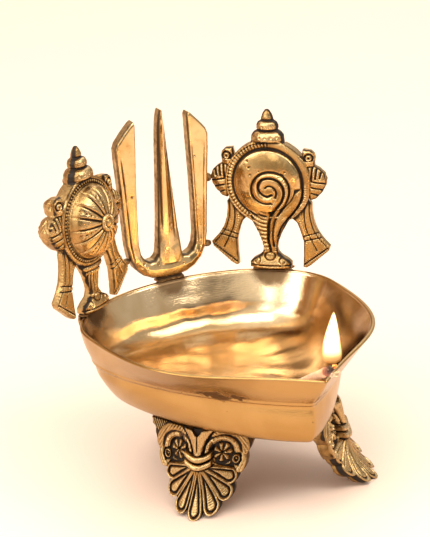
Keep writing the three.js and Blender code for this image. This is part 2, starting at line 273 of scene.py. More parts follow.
def make(name, verts, faces, body="lamp", attrs=None, smooth=True):
    """A mesh object from vertices in metres. faces is an (n, 3) or (n, 4) array, or a list."""
    me = bpy.data.meshes.new(name)
    verts = np.asarray(verts, np.float32)
    if isinstance(faces, np.ndarray):
        n, k = faces.shape
        me.vertices.add(len(verts))
        me.vertices.foreach_set("co", verts.ravel())
        me.loops.add(n * k)
        me.loops.foreach_set("vertex_index", faces.astype(np.int32).ravel())
        me.polygons.add(n)
        me.polygons.foreach_set("loop_start", np.arange(0, n * k, k, dtype=np.int32))
        me.polygons.foreach_set("loop_total", np.full(n, k, dtype=np.int32))
        me.update(calc_edges=True)
    else:
        me.from_pydata([tuple(map(float, p)) for p in verts], [], [list(map(int, q)) for q in faces])
    me.validate()
    me.update()
    if smooth:
        me.polygons.foreach_set("use_smooth", np.ones(len(me.polygons), bool))
    for key, val in (attrs or {}).items():
        a = me.attributes.new(key, "FLOAT", "POINT")
        a.data.foreach_set("value", np.asarray(val, np.float32))
    ob = bpy.data.objects.new(name, me)
    bpy.context.scene.collection.objects.link(ob)
    if body:
        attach(ob, body)
    return ob


def grid_faces(n, m, close_u=True, close_v=False):
    """Quads of an n by m vertex grid (row-major); closing wraps an axis."""
    i = np.arange(n if close_u else n - 1)
    j = np.arange(m if close_v else m - 1)
    I, J = np.meshgrid(i, j, indexing="ij")
    a = I * m + J
    b = ((I + 1) % n) * m + J
    c = ((I + 1) % n) * m + (J + 1) % m
    d = I * m + (J + 1) % m
    return np.stack([a, b, c, d], -1).reshape(-1, 4)


def tube(path, radius, sides=8, wobble=0.0, seed=0):
    """Closed tube along a path with its own radius at each point; returns vertices and faces."""
    path = np.asarray(path, float)
    n = len(path)
    radius = np.broadcast_to(radius, (n,))
    t = np.gradient(path, axis=0)
    t /= np.linalg.norm(t, axis=1)[:, None] + 1e-12
    up = np.array([0, 0, 1.0]) if abs(t[0][2]) < 0.9 else np.array([1.0, 0, 0])
    a = np.cross(t[0], up)
    a /= np.linalg.norm(a)
    rings = []
    for i in range(n):
        a = a - t[i] * (a @ t[i])
        a /= np.linalg.norm(a)
        b = np.cross(t[i], a)
        th = np.arange(sides) * 2 * math.pi / sides
        r = radius[i] * (1 + wobble * (hash2(np.arange(sides), i, seed) - 0.5))
        rings.append(path[i] + (r * np.cos(th))[:, None] * a + (r * np.sin(th))[:, None] * b)
    v = np.concatenate(rings + [path[:1], path[-1:]])
    f = []
    for i in range(n - 1):
        for j in range(sides):
            k = (j + 1) % sides
            f.append([i * sides + j, i * sides + k, (i + 1) * sides + k, (i + 1) * sides + j])
    for j in range(sides):
        k = (j + 1) % sides
        f.append([n * sides, k, j])
        f.append([n * sides + 1, (n - 1) * sides + j, (n - 1) * sides + k])
    return v, f


# ------------------------------------------------------------------- leaf outlines
def leaf(shape):
    t = np.linspace(0, 1, 1200)[:, None]
    p0, p1 = np.array([shape["x"], 0]), np.array([shape["x"], -shape["k"]])
    p2, p3 = np.array([shape["tx"], -shape["tip"] + shape["ty"]]), np.array([0, -shape["tip"]])
    c = (1 - t) ** 3 * p0 + 3 * (1 - t) ** 2 * t * p1 + 3 * (1 - t) * t * t * p2 + t ** 3 * p3
    ang, rad = np.arctan2(c[:, 0], -c[:, 1])[::-1], np.hypot(c[:, 0], c[:, 1])[::-1]

    def radius(phi, soft=0.0):
        a = np.abs(np.arctan2(np.sin(phi), np.cos(phi)))
        a = np.sqrt(a * a + soft * soft)
        front = np.interp(a, ang, rad)
        s, c_ = np.sin(a), np.cos(a)
        back = 1 / np.sqrt((s / shape["x"]) ** 2 + (c_ / shape["back"]) ** 2)
        return np.where(a > math.pi / 2, back, front)
    return radius


rimR, creaseR, baseR = leaf(RIM), leaf(CREASE), leaf(BASE)


def wallR(phi, z):
    hi = creaseR(phi) + (rimR(phi) - creaseR(phi)) * np.clip((z - CREASE_Z) / (RIM_Z - CREASE_Z), 0, 1)
    lo = baseR(phi) + (creaseR(phi) - baseR(phi)) * (z - BASE_Z) / (CREASE_Z - BASE_Z)
    return np.where(z >= CREASE_Z, hi, lo)


# ---------------------------------------------------------------------------- bowl
def bowl_profile():
    """Section of the bowl as (kind, a, z): radius = (1 - a) * crease + a * rim + extra, or a share of the crease or base."""
    key = [  # crease share, rim share, base share, extra, z
        (0.0, 0, 0, 0.0, FLOOR_Z), (0.30, 0, 0, 0.0, FLOOR_Z + 0.3), (0.55, 0, 0, 0.0, FLOOR_Z + 1.5),
        (0.74, 0, 0, 0.0, FLOOR_Z + 4.0), (0.86, 0, 0, 0.0, FLOOR_Z + 8.2), (0.88, 0.12, 0, -4.0, 54.6),
        (0.52, 0.48, 0, -3.0, 59.6), (0.10, 0.90, 0, -LIP - 0.35, 64.4), (0, 1, 0, -LIP - 0.02, 65.6)]
    inner = curve(np.array(key), 9)
    lip = []
    for t in np.linspace(0, math.pi, 13):
        lip.append((0, 1, 0, -LIP / 2 - math.cos(t) * LIP / 2, RIM_Z - 0.75 + 0.75 * math.sin(t)))
    out = [(0.06, 0.94, 0, 0.15, 65.0), (0.24, 0.76, 0, 0.42, 62.6), (0.42, 0.58, 0, 0.50, 60.0), (0.62, 0.38, 0, 0.42, 57.3),
           (0.82, 0.18, 0, 0.22, 54.8), (0.94, 0.06, 0, 0.06, 53.3)]
    outer = curve(np.array([(0, 1, 0, 0.0, RIM_Z - 0.8)] + out), 6)
    crease = [(0.985, 0.015, 0, 0.35, 52.9), (1.0, 0, 0, 0.30, 52.3), (1.0, 0, 0, -0.25, 51.75), (0.985, 0, 0.015, -0.75, 51.3)]
    drum = curve(np.array([(0.93, 0, 0.07, -0.55, 50.2), (0.74, 0, 0.26, 0.15, 47.2), (0.50, 0, 0.50, 0.5, 44.2), (0.22, 0, 0.78, 0.45, 40.6),
                           (0.05, 0, 0.95, 0.0, 38.2), (0, 0, 1, -0.9, 36.6), (0, 0, 1, -2.0, 35.75), (0, 0, 1, -3.6, BASE_Z)]), 5)
    base = np.array([(0, 0, t, 0.0, BASE_Z) for t in (0.86, 0.7, 0.5, 0.25, 0.0)])
    return np.vstack([inner, np.array(lip), outer[1:], crease, drum, base])


def build_bowl():
    prof = bowl_profile()
    N = 420
    t = 2 * math.pi * np.arange(N) / N
    phi = t - 0.55 * np.sin(t)                 # closer steps near the spout
    cr, rr, br = creaseR(phi, 0.012), rimR(phi, 0.010), baseR(phi, 0.012)
    R = prof[:, 0][None] * cr[:, None] + prof[:, 1][None] * rr[:, None] + prof[:, 2][None] * br[:, None] + prof[:, 3][None] * np.minimum(1, prof[:, 0] + prof[:, 1] + prof[:, 2])[None]
    Z = np.repeat(prof[:, 4][None], N, 0)
    x, y = R * np.sin(phi)[:, None], -R * np.cos(phi)[:, None]
    n_in = int(np.argmax(prof[:, 4] > RIM_Z - 0.9)) + 6
    inner = np.arange(len(prof)) < n_in
    # the hand-finished hollow: long shallow ripples that fade at the lip
    fade = sstep(66, 60, Z) * inner[None] * sstep(0, 8, R)
    rip = 0.62 * noise2(x / 15 + 3, y / 15 + Z / 13, 1) + 0.30 * noise2(x / 7, y / 7 + Z / 6, 2) + 0.09 * noise2(x / 3.6 + 5, y / 5.2 + Z / 3.4, 9) * sstep(10, 24, R) + 0.52 * noise2(np.repeat(phi[:, None] * 5.5, len(prof), 1), Z / 17, 5) * sstep(14, 34, R)
    # the outside was filed by hand: much flatter ripples
    rip_o = (0.16 * noise2(x / 13 + 9, y / 13 + Z / 11, 3) + 0.07 * noise2(x / 5, y / 5 + Z / 5, 4)) * (~inner)[None] * sstep(66.2, 64, Z) * (Z > BASE_Z + 0.2)
    # a shallow casting flaw along the shoulder of the left front; the same mask also paints a dark reflection of the
    # foot there
    ax = np.array([math.cos(math.radians(-47.5)), math.sin(math.radians(-47.5))])   # along the shoulder
    sx, sy = x + 26.5, y + 57.0
    al = sx * 0.585 - sy * 0.811
    spot = (1 - np.clip((al / 18.0) ** 2, 0, 1)) * np.exp(-((Z - 54.2 + 0.02 * al) / (0.8 + 2.1 * (1 - np.clip(np.abs(al) / 18.0, 0, 1)))) ** 2)
    spot = spot * (~inner)[None] * (x < -4)
    flaw_and_reflection = spot * (0.55 + 0.9 * noise2(al / 1.6, Z / 2.2, 6))
    shift = fade * rip + rip_o - 0.35 * flaw_and_reflection
    lift = fade * rip * 0.9
    x, y = (R + shift * (R > 6)) * np.sin(phi)[:, None], -(R + shift * (R > 6)) * np.cos(phi)[:, None]
    Z = Z + lift * inner[None] * (R > 0)
    M = len(prof)
    v = np.stack([x, y, Z], -1).reshape(-1, 3)
    keep = np.arange(N * M).reshape(N, M)
    faces = grid_faces(N, M)
    # poles: merge the first and last rings into single points
    top, bottom = len(v), len(v) + 1
    v = np.vstack([v, [0, 0, Z[:, 0].mean()], [0, 0, BASE_Z]])
    remap = np.arange(len(v))
    remap[keep[:, 0]] = top
    remap[keep[:, -1]] = bottom
    f = remap[faces]
    tri, quad = [], []
    dup = (f[:, 0] == f[:, 3]) | (f[:, 1] == f[:, 2]) | (f[:, 0] == f[:, 1]) | (f[:, 2] == f[:, 3])
    for q in f[dup]:
        r = list(dict.fromkeys(q.tolist()))
        if len(r) == 3:
            tri.append(r)
    used = np.zeros(len(v), bool)
    allf = f[~dup].tolist() + tri
    for q in (f[~dup].ravel(), np.array(tri).ravel()):
        used[q] = True
    new = np.cumsum(used) - 1
    allf = [[int(new[i]) for i in q] for q in allf]
    depth = np.zeros(len(v))
    depth[:N * M] = (sstep(RIM_Z, FLOOR_Z, Z) * inner[None]).ravel()
    # painted reflection: a dark mark where the foot is reflected on the shoulder
    painted_reflection = np.zeros(len(v))
    painted_reflection[:N * M] = np.clip(flaw_and_reflection * 1.5, 0, 1).ravel()
    outside = np.zeros(len(v))
    outside[:N * M] = np.repeat((~inner)[None], N, 0).ravel()
    outside[-1] = 1
    # painted shade: darker round the emblem bases, in a band along the shoulder crease and towards the bottom of the
    # drum where the feet sit
    painted_shade = np.zeros((N, M))
    for px, py in [EMBLEMS["chakra"][:2], EMBLEMS["conch"][:2], (0, 39.0)]:
        d = np.sqrt((x - px) ** 2 + (y - py) ** 2 + (Z - RIM_Z) ** 2 * 1.2)
        painted_shade = np.maximum(painted_shade, 0.9 * np.exp(-(d / 9.5) ** 4))
    painted_shade = np.maximum(painted_shade, 0.35 * np.exp(-((Z - CREASE_Z) / 0.8) ** 2) * (~inner)[None])
    painted_shade = np.maximum(painted_shade, 0.55 * sstep(37.0, BASE_Z, Z) * (~inner)[None])
    g = np.zeros(len(v))
    g[:N * M] = painted_shade.ravel()
    faces = allf
    # the bowl's cav attribute holds this painted shade, not a recess depth
    ob = make("bowl_shell", mm(v[used]), faces, "lamp",
              dict(depth=depth[used], painted_reflection=painted_reflection[used], outside=outside[used], cav=g[used]))
    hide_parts("bowl")
    return ob


# ----------------------------------------------------------------- emblem reliefs
WING_UP = [[15.0, 53.6], [16.4, 53.4], [18.2, 53.2], [19.8, 51.8], [20.3, 49.8], [19.9, 47.9], [20.0, 46.4], [17, 44], [14, 47]]
WING_LOW = [[17.0, 46.6], [19.8, 46.6], [21.8, 45.6], [24.0, 43.6], [25.0, 41.0], [24.7, 38.4], [22.9, 35.2], [20.2, 32.4], [18.0, 31.6], [15, 36]]
RIBBON = [[16.2, 33.0], [18.3, 30.0], [18.3, 26.5], [18.9, 22.6], [20.2, 18.6], [22.4, 15.2], [25.7, 11.6], [25.0, 9.4],
          [21.4, 6.4], [17.6, 3.0], [15.2, 1.6], [13.9, 2.0], [14.3, 7.0], [14.4, 12.9], [13.1, 18.0], [11.8, 21.4], [9.0, 24.0], [11, 30]]
NECK = [[-9.5, 24.5], [-7.2, 20.4], [-4.9, 16.4], [-3.5, 12.6], [-3.0, 9.8], [-3.4, 8.0], [-5.0, 6.4], [-7.6, 5.0], [-8.9, 3.6], [-8.8, EMBLEM_V0],
        [8.8, EMBLEM_V0], [8.9, 3.6], [7.6, 5.0], [5.0, 6.4], [3.4, 8.0], [3.0, 9.8], [3.5, 12.6], [4.9, 16.4], [7.2, 20.4], [9.5, 24.5]]
CROWN = [(53.5, 7.3), (56.0, 7.2), (57.6, 7.1), (59.2, 6.9), (60.5, 6.0), (61.2, 4.9), (61.7, 4.4), (62.2, 4.7), (63.6, 4.7), (64.8, 4.1), (65.4, 3.1), (65.9, 2.7),
         (67.0, 2.5), (68.6, 1.9), (69.8, 1.1), (70.3, 0.4)]


def crown_half(v):
    c = np.array(CROWN)
    return np.interp(v, c[:, 0], c[:, 1], left=0, right=0)


def emblem_outline(u, v, stem_half=None):
    a = np.abs(u)
    s = np.hypot(u, v - DISC_V) - DISC_R
    s = smin(s, poly(a, v, WING_UP), 0.5)
    s = smin(s, poly(a, v, WING_LOW), 0.5)
    s = smin(s, poly(a, v, RIBBON), 0.6)
    s = smin(s, poly(u, v, NECK), 0.8)
    cr = np.where((v > 53.2) & (v < 70.4), (a - crown_half(v)) * 0.9, 9.0)
    cr = np.maximum(cr, v - 70.3)
    return np.minimum(s, cr)


def common_front(u, v, ring_ticks):
    """Front height of wings, ribbons, neck, base and crown, which both disc emblems share."""
    a = np.abs(u)
    h = np.full(np.shape(u), 1.7)
    # wings: thick knots, cut with slanting strokes
    wu, wl = poly(a, v, WING_UP), poly(a, v, WING_LOW)
    lobe = np.hypot(a - 17.6, v - 50.0)
    h = np.where(wu < 0, 1.2 + 2.0 * np.sqrt(np.clip(-wu / 3.0, 0, 1)), h)
    h += groove(lobe - 1.7, 0.9, 1.1) * (wu < 0.2) * (v > 48.6) + groove(lobe, 1.2, 1.3) * (wu < 0)
    knob = 1.4 + 1.9 * np.sqrt(np.clip(-wl / 3.4, 0, 1))
    h = np.where(wl < 0, np.maximum(knob, 0), h)
    for (p, q) in (([19.2, 46.4], [18.6, 41.0]), ([20.9, 45.2], [20.4, 41.4]), ([22.7, 43.8], [22.2, 41.6])):
        d, _ = line(a, v, [p, q])
        h += groove(d, 0.75, 0.9) * (wl < 0)
    for (p, q) in (([18.8, 40.2], [24.6, 39.2]), ([18.8, 37.6], [23.2, 36.6]), ([18.8, 35.0], [21.4, 34.0])):
        d, _ = line(a, v, [p, q])
        h += groove(d, 0.7, 0.8) * (wl < 0)
    # ribbons: raised edges, stitched line, cross bands and a hatched hem
    rb = poly(a, v, RIBBON)
    rmask = (rb < 0.1) & (v < 31)
    hr = 1.5 + 0.35 * sstep(0, 1.2, -rb)
    edge = line(a, v, curve([[17.4, 31], [17.2, 26.5], [17.8, 22.4], [19.2, 18.0], [21.6, 14.4], [24.2, 11.6]], 5))[0]
    hr += groove(edge, 0.55, 0.55)
    mid, ml = line(a, v, curve([[15.4, 30], [15.0, 24], [15.9, 18.5], [18.2, 13.4], [20.2, 9.6]], 5))
    hr += groove(mid, 0.5, 0.5)
    st = line(a, v, curve([[13.6, 27], [13.3, 22.0], [14.9, 17.0], [15.9, 12.4]], 5))
    hr += 0.35 * (np.sin(st[1] * 2 * math.pi / 1.05) > 0) * np.exp(-(st[0] / 0.33) ** 2)
    for c0, c1 in (([14.0, 15.4], [21.0, 17.6]), ([14.2, 13.4], [22.6, 15.6])):
        hr += groove(line(a, v, [c0, c1])[0], 0.55, 0.6)
    hem = line(a, v, [[14.6, 3.2], [24.8, 10.9]])[0]
    hr += groove(hem, 0.6, 0.75)
    hw = poly(a, v, [[14.0, 3.9], [24.4, 11.8], [26, 10], [15, 0]])
    hatch = np.sin((a * 0.8 + v * 0.62) * 2 * math.pi / 0.95)
    hr += 0.22 * hatch * (hw < 0)
    cross = np.sin((a - 0.25 * v) * 2 * math.pi / 1.0)
    hr += 0.12 * cross * ((v > 12.8) & (v < 17.8) & (a > 16.2))
    h = np.where(rmask, hr, h)
    # neck
    nk = poly(u, v, NECK)
    half = np.interp(v, [1.4, 3.6, 5.4, 7.0, 9.8, 13, 17, 21, 25], [8.9, 8.9, 7.0, 4.2, 3.0, 3.6, 5.0, 7.4, 9.6])
    depth = np.interp(v, [1.4, 3.0, 4.6, 6.6, 9, 13, 18, 24], [4.3, 4.3, 3.8, 3.0, 2.5, 2.4, 2.6, 2.8])
    hn = depth * np.sqrt(np.clip(1 - (u / (half + 0.35)) ** 2 * 0.86, 0.04, 1))
    h = np.where((nk < 0.1) & (v < 25), np.maximum(hn, 0.6), h)
    # crown: three turned tiers with punched dots
    ch = crown_half(v)
    hc = 0.8 * np.sqrt(np.clip(ch ** 2 - u ** 2, 0, None))
    cm = (v > 53.4) & (a < ch)
    for v0 in (61.5, 65.6):
        hc += groove(np.abs(v - v0), 1.0, 0.8) * cm
    for k in range(-3, 4):
        hc += -0.5 * np.exp(-(np.hypot((u - 2.35 * k), v - 58.9) / 0.42) ** 2) * cm
        hc += -0.35 * np.exp(-(np.hypot((u - 1.6 * k), v - 63.2) / 0.33) ** 2) * cm
    hc += -0.5 * np.exp(-((np.abs(v - 56.9)) / 0.35) ** 2) * cm
    inring = np.hypot(u, v - DISC_V) < DISC_R - 0.4
    return np.where(cm & ~inring, np.maximum(hc, 0.3), h), nk


def ring_relief(u, v, r_in=15.0, r_out=18.4):
    r = np.hypot(u, v - DISC_V)
    th = np.arctan2(v - DISC_V, u)
    mid, half = 0.5 * (r_in + r_out), 0.5 * (r_out - r_in)
    h = 2.3 + 1.05 * np.sqrt(np.clip(1 - ((r - mid) / (half * 1.12)) ** 2, 0, 1))
    return r, th, h


def chakra_front(u, v):
    h, nk = common_front(u, v, True)
    r, th, hr = ring_relief(u, v)
    # rope border: ticks right round the ring
    hr = hr + 0.36 * np.sin(th * 70 + 0.0) * np.exp(-((r - 16.0) / 0.8) ** 2)
    hr = hr + groove(np.abs(r - 17.0), 0.6, 0.4)
    dome = 2.5 + 10.0 * np.sqrt(np.clip(1 - (r / 15.6) ** 2, 0, 1)) ** 0.96
    # sixteen sectors with cut lines, every other one punched with small rings
    sect = (th / (2 * math.pi) * 16) % 1.0
    k = np.floor(th / (2 * math.pi) * 16).astype(int) % 2
    dline = np.minimum(sect, 1 - sect) * 2 * math.pi / 16 * r
    fr = sstep(3.4, 4.4, r) * sstep(15.0, 14.2, r)
    dome = dome + groove(dline, 0.85, 0.95) * fr
    cen = (np.floor(th / (2 * math.pi) * 16) + 0.5) * 2 * math.pi / 16
    for rr, rad in ((13.1, 0.50), (11.2, 0.46), (9.3, 0.40), (7.4, 0.30)):
        d = np.hypot(u - rr * np.cos(cen), v - DISC_V - rr * np.sin(cen))
        dome = dome - 0.75 * np.exp(-(d / rad) ** 2) * (k == 0)
    # boss
    boss = sstep(3.9, 3.4, r)
    dome = dome + boss * (0.55 + 0.28 * np.cos(th * 18) * np.exp(-((r - 2.8) / 0.5) ** 2)) + groove(np.abs(r - 3.75), 0.55, 0.45)
    dome = dome + groove(np.abs(r - 1.9), 0.5, 0.5) + 0.5 * sstep(1.6, 0.4, r)
    dome = dome + groove(np.abs(r - 14.75), 0.9, 1.2)
    h = np.where(r < DISC_R, np.where(r < 15.1, dome, np.maximum(hr, 1.0)), h)
    # fluted neck with a collar, and scrolls on the base
    a = np.abs(u)
    m = (nk < 0.3) & (r > DISC_R - 0.1) & (v < 24)
    flute = 0.28 * np.cos(u * 2 * math.pi / 1.55) * sstep(8.2, 9.4, v) * sstep(18.5, 17.0, v)
    col = bead(np.abs(v - 19.4), 1.0, 0.7) + bead(np.abs(v - 17.3), 0.7, 0.35) + bead(np.abs(v - 7.7), 0.7, 0.5)
    h = h + np.where(m, flute + col, 0)
    return base_scrolls(u, v, h, m)


def base_scrolls(u, v, h, m):
    a = np.abs(u)
    r = np.hypot(a - 5.7, v - 4.5)
    th = np.arctan2(v - 4.5, a - 5.7)
    sp = r - (0.55 + 1.9 * ((-th / (2 * math.pi)) % 1.0))
    h = h + np.where(m & (v < 7.4), groove(np.abs(sp), 0.55, 0.6) * (r < 2.6) + 0.5 * np.exp(-(r / 2.2) ** 4), 0)
    h = h + np.where(m, groove(np.abs(v - 2.7), 0.6, 0.8) + groove(np.hypot(u * 0.7, v - 6.6) - 1.6, 0.5, 0.5) * (v < 9), 0)
    return h


def _c(x, y):
    """Chart units of the shell drawing to emblem millimetres."""
    u, v = (205 + x / 9 - 268) / 2.32, (266.5 - (100 + y / 9)) / 2.244 + 0.6
    w = 2.6 + 4.1 * math.sqrt(max(0.0, 1 - (math.hypot(u, v - DISC_V) / 15.6) ** 2))
    k = min(1.0, max(0.0, (v - 12) / 10))
    return (u + 0.27 * w * k, v + 0.37 * w * k)


OUTER_CUT = curve([_c(*p) for p in [(572, 932), (505, 934), (446, 905), (408, 858), (399, 800), (420, 738), (474, 684), (548, 660), (628, 668),
                                   (694, 706), (734, 772), (736, 850), (706, 930), (664, 990), (622, 1050), (600, 1120), (596, 1200), (604, 1290)]], 6)
INNER_CUT = curve([_c(*p) for p in [(580, 858), (536, 872), (490, 852), (462, 808), (470, 758), (512, 722), (572, 716), (634, 736), (676, 784),
                                   (688, 846), (668, 910), (628, 964), (586, 1010), (562, 1070), (554, 1150), (556, 1240), (574, 1340)]], 6)
CURL_CUT = curve([_c(*p) for p in [(522, 800), (548, 782), (584, 788), (612, 812), (622, 846), (610, 882)]], 6)


def conch_front(u, v):
    h, nk = common_front(u, v, True)
    r, th, hr = ring_relief(u, v)
    deg = np.degrees(th)
    left = (u < 0) | (v > 53)
    # rope ticks on the left half and along the lower right edge
    rope = 0.36 * np.sin(th * 72) * np.exp(-((r - 16.7) / 0.9) ** 2)
    lower_right = (u > 0) & (v < 31)
    hr = hr + rope * (((u < 0.5) | lower_right))
    hr = hr + groove(np.abs(r - 17.35), 0.55, 0.45) * (u < 0)
    dome = 2.6 + 4.1 * np.sqrt(np.clip(1 - (r / 15.6) ** 2, 0, 1)) ** 0.95
    d0, _ = line(u, v, OUTER_CUT)
    d1, l1 = line(u, v, INNER_CUT)
    d2, _ = line(u, v, CURL_CUT)
    # the coil stands slightly proud between its cuts
    arm = np.exp(-(((d0 - 1.35) / 1.0) ** 2)) * np.exp(-(((d1 - 1.35) / 1.0) ** 2))
    dome = dome + 0.55 * arm
    cuts = groove(d0, 0.85, 0.85) + groove(d1, 0.95, 1.0) + groove(d2, 0.8, 0.8)
    # cross strokes on the outer arm where it turns down
    strokes = 0.16 * np.sin(l1 * 2 * math.pi / 0.85) * arm * ((u > 2.0) | (v < 30))
    dome = dome + strokes
    # casting pits
    for px, py, rad in ((-7.4, 46.2, 0.5), (7.0, 43.6, 0.8), (-6.8, 43.2, 0.4), (8.0, 44.6, 0.5), (6.2, 42.4, 0.4), (-8.2, 48.8, 0.4), (-3.0, 44.8, 0.3), (9.6, 38.0, 0.3)):
        dome = dome - 0.5 * np.exp(-(np.hypot(u - px, v - py) / rad) ** 2)
    flow = poly(u, v, [[-0.6, 22.0], [1.2, 29.5], [5.5, 33.5], [11.0, 36.8], [15.4, 37.4], [15.2, 33.4], [13.6, 29.6], [10.4, 25.2], [6.6, 21.0], [4.6, 16.0], [1.0, 14.0], [-1.4, 18.0]])
    fl = sstep(0.3, -0.7, flow)
    dome = dome + groove(np.abs(r - 14.75), 0.9, 1.2) * (1 - fl)
    inside = r < 15.1
    h = np.where(r < DISC_R, np.where(inside, dome, np.maximum(hr, 1.0)), h)
    sheet = 2.75 + 0.9 * sstep(0, 3.0, -flow) + 3.0 * np.sqrt(np.clip(1 - (r / 17.5) ** 2, 0, 1)) * 0.35
    h = np.where(r > 12.0, h * (1 - fl) + sheet * fl, h)
    # the shell's tail: the disc runs down into the neck
    tail = poly(u, v, [[-9.0, 27.5], [-7.4, 22.5], [-5.2, 17.2], [-3.2, 12.4], [-2.6, 9.2], [2.9, 9.2], [3.5, 12.4], [5.6, 17.4], [9.4, 23.5], [12.4, 28.4], [6, 34], [-4, 30]])
    ht = 2.4 + 1.5 * sstep(8, 26, v) * sstep(0, 2.2, -tail)
    right = smax(tail, -(u + 1.0 - (v - 20) * 0.02), 0.2)
    ht = ht + 0.9 * bead(np.abs(u - (3.4 + (v - 18) * 0.32)), 2.6, 1.0) * sstep(11, 15, v) * (u > 0.3)
    blend = sstep(0.6, -1.2, tail) * sstep(27.5, 23.5, v + 0.16 * np.abs(u))
    h = h * (1 - blend) + np.maximum(h * 0.0 + ht, 0) * blend
    # feathered layers left of the stem
    fe = (tail < 0.3) & (u < -0.5) & (v < 27) & (v > 9)
    rad = np.hypot(u + 0.2, v - 31.0)
    h = h + np.where(fe, 0.26 * np.sin(rad * 2 * math.pi / 1.75) + 0.12 * np.sin((u * 1.3 + v * 0.5) * 2 * math.pi / 0.8), 0)
    # rope edges of the tail
    le, ll = line(u, v, curve([[-8.2, 24.6], [-6.0, 19.6], [-4.2, 15.2], [-2.7, 11.6], [-2.3, 8.6]], 5))
    re, rl = line(u, v, curve([[13.2, 28.6], [9.6, 23.4], [6.0, 18.4], [4.0, 14.0], [2.8, 10.6], [2.6, 8.6]], 5))
    for d, l in ((le, ll), (re, rl)):
        h = h + np.where(v < 29, (0.35 + 0.28 * np.sin(l * 2 * math.pi / 0.95)) * np.exp(-(d / 0.55) ** 2), 0)
    edge, el = line(u, v, curve([[16.2, 38.0], [15.9, 33.6], [14.2, 29.2], [11.0, 24.6], [7.2, 20.6], [5.2, 16.0], [3.6, 11.0]], 6))
    h = h + (0.25 + 0.26 * np.sin(el * 2 * math.pi / 1.0)) * np.exp(-(edge / 0.6) ** 2) - 0.8 * np.exp(-((edge - 1.2) / 0.35) ** 2) * (flow < 0)
    rg, _ = line(u, v, curve([_c(*p) for p in [(872, 860), (832, 930), (770, 1010), (706, 1080), (662, 1150), (636, 1230), (628, 1320)]], 6))
    h = h + groove(rg, 0.6, 0.35)
    h = h + cuts * ((r < 14.9) | (v < 24)) * (v > 8.2)
    m = (nk < 0.3) & (r > DISC_R - 0.1) & (v < 24)
    return base_scrolls(u, v, h, m & (v < 9.5))


def chakra_back(u, v):
    b = emblem_back(u, v)
    a = np.abs(u)
    r = np.hypot(u, v - DISC_V)
    b = np.where(r < DISC_R, b - 1.6 * np.sqrt(np.clip(1 - (r / 19.0) ** 2, 0, 1)), b)
    k = np.minimum(poly(a, v, WING_LOW), poly(a, v, WING_UP))
    return np.where((k < 0) & (r >= DISC_R), b - 2.7 * np.sqrt(np.clip(-k / 2.0, 0, 1)), b)


def emblem_back(u, v):
    r = np.hypot(u, v - DISC_V)
    a = np.abs(u)
    b = np.full(np.shape(u), -1.7)
    b = np.where(r < DISC_R, -(2.2 + 1.5 * np.sqrt(np.clip(1 - (r / 19.0) ** 2, 0, 1))), b)
    wl, wu = poly(a, v, WING_LOW), poly(a, v, WING_UP)
    b = np.where((wl < 0) & (r >= DISC_R), -(1.4 + 2.4 * np.sqrt(np.clip(-wl / 3.4, 0, 1))), b)
    b = np.where((wu < 0) & (r >= DISC_R), -(1.2 + 2.0 * np.sqrt(np.clip(-wu / 3.0, 0, 1))), b)
    nk = poly(u, v, NECK)
    depth = np.interp(v, [1.4, 3.0, 4.6, 6.6, 9, 13, 18, 24], [4.3, 4.3, 3.6, 2.8, 2.2, 2.1, 2.3, 2.6])
    half = np.interp(v, [1.4, 3.6, 5.4, 7.0, 9.8, 13, 17, 21, 25], [8.9, 8.9, 7.0, 4.2, 3.0, 3.6, 5.0, 7.4, 9.6])
    hn = depth * np.sqrt(np.clip(1 - (u / (half + 0.35)) ** 2 * 0.86, 0.04, 1))
    b = np.where((nk < 0.1) & (v < 22) & (r >= DISC_R), -hn, b)
    ch = crown_half(v)
    hc = 0.8 * np.sqrt(np.clip(ch ** 2 - u ** 2, 0, None))
    return np.where((v > 53.4) & (a < ch) & (r > DISC_R - 0.4), -np.maximum(hc, 0.3), b)


def wing_side(u, v, w):
    """Cuts on the outward faces of the knots, seen when the emblem is edge on."""
    a = np.abs(u)
    zone = sstep(19.4, 20.4, a) * (v > 31) * (v < 47)
    d = np.abs(w + 0.2) + np.abs(v - 40.0) * 0.62
    cut = 0.42 * np.exp(-((d - 2.6) / 0.30) ** 2) + 0.32 * np.exp(-((d - 1.2) / 0.26) ** 2)
    up = sstep(18.6, 19.4, a) * (v > 47.6) * (v < 53)
    slot = 0.8 * np.exp(-(np.hypot((w + 0.2) / 0.75, (v - 50.2) / 1.5)) ** 2 * 1.2)
    # stitched edge line down the side of each ribbon
    rb = (v < 29) * (v > 3) * sstep(17.4, 18.2, a)
    stitch = 0.20 * (np.sin(v * 2 * math.pi / 1.1) > 0) * np.exp(-((w - 0.9) / 0.28) ** 2)
    return zone * cut + up * slot + rb * stitch


def chakra_side(u, v, w):
    """The wide outer face of the thick knobs: a cut lozenge, stripes beside it and a deep slot above."""
    a = np.abs(u)
    zone = sstep(18.9, 19.9, a) * (v > 31) * (v < 47.2)
    d = np.abs(w + 1.6) * 0.9 + np.abs(v - 40.2) * 0.66
    cut = 0.55 * np.exp(-((d - 3.0) / 0.34) ** 2) + 0.42 * np.exp(-((d - 1.5) / 0.28) ** 2)
    stripes = 0.40 * (np.sin((v - 0.5 * w) * 2 * math.pi / 2.0) > 0.35) * (w > 1.2) + 0.36 * (np.sin((v + 0.5 * w) * 2 * math.pi / 2.0) > 0.45) * (w < -4.2)
    up = sstep(17.8, 18.8, a) * (v > 47.6) * (v < 53)
    slot = 1.3 * np.exp(-(np.hypot((w + 0.9) / 1.1, (v - 50.2) / 1.4)) ** 2 * 1.2)
    rb = (v < 29) * (v > 3) * sstep(17.4, 18.2, a)
    stitch = 0.26 * (np.sin(v * 2 * math.pi / 1.1) > 0) * np.exp(-((w - 0.9) / 0.32) ** 2)
    return zone * (cut + stripes) + up * slot + rb * stitch


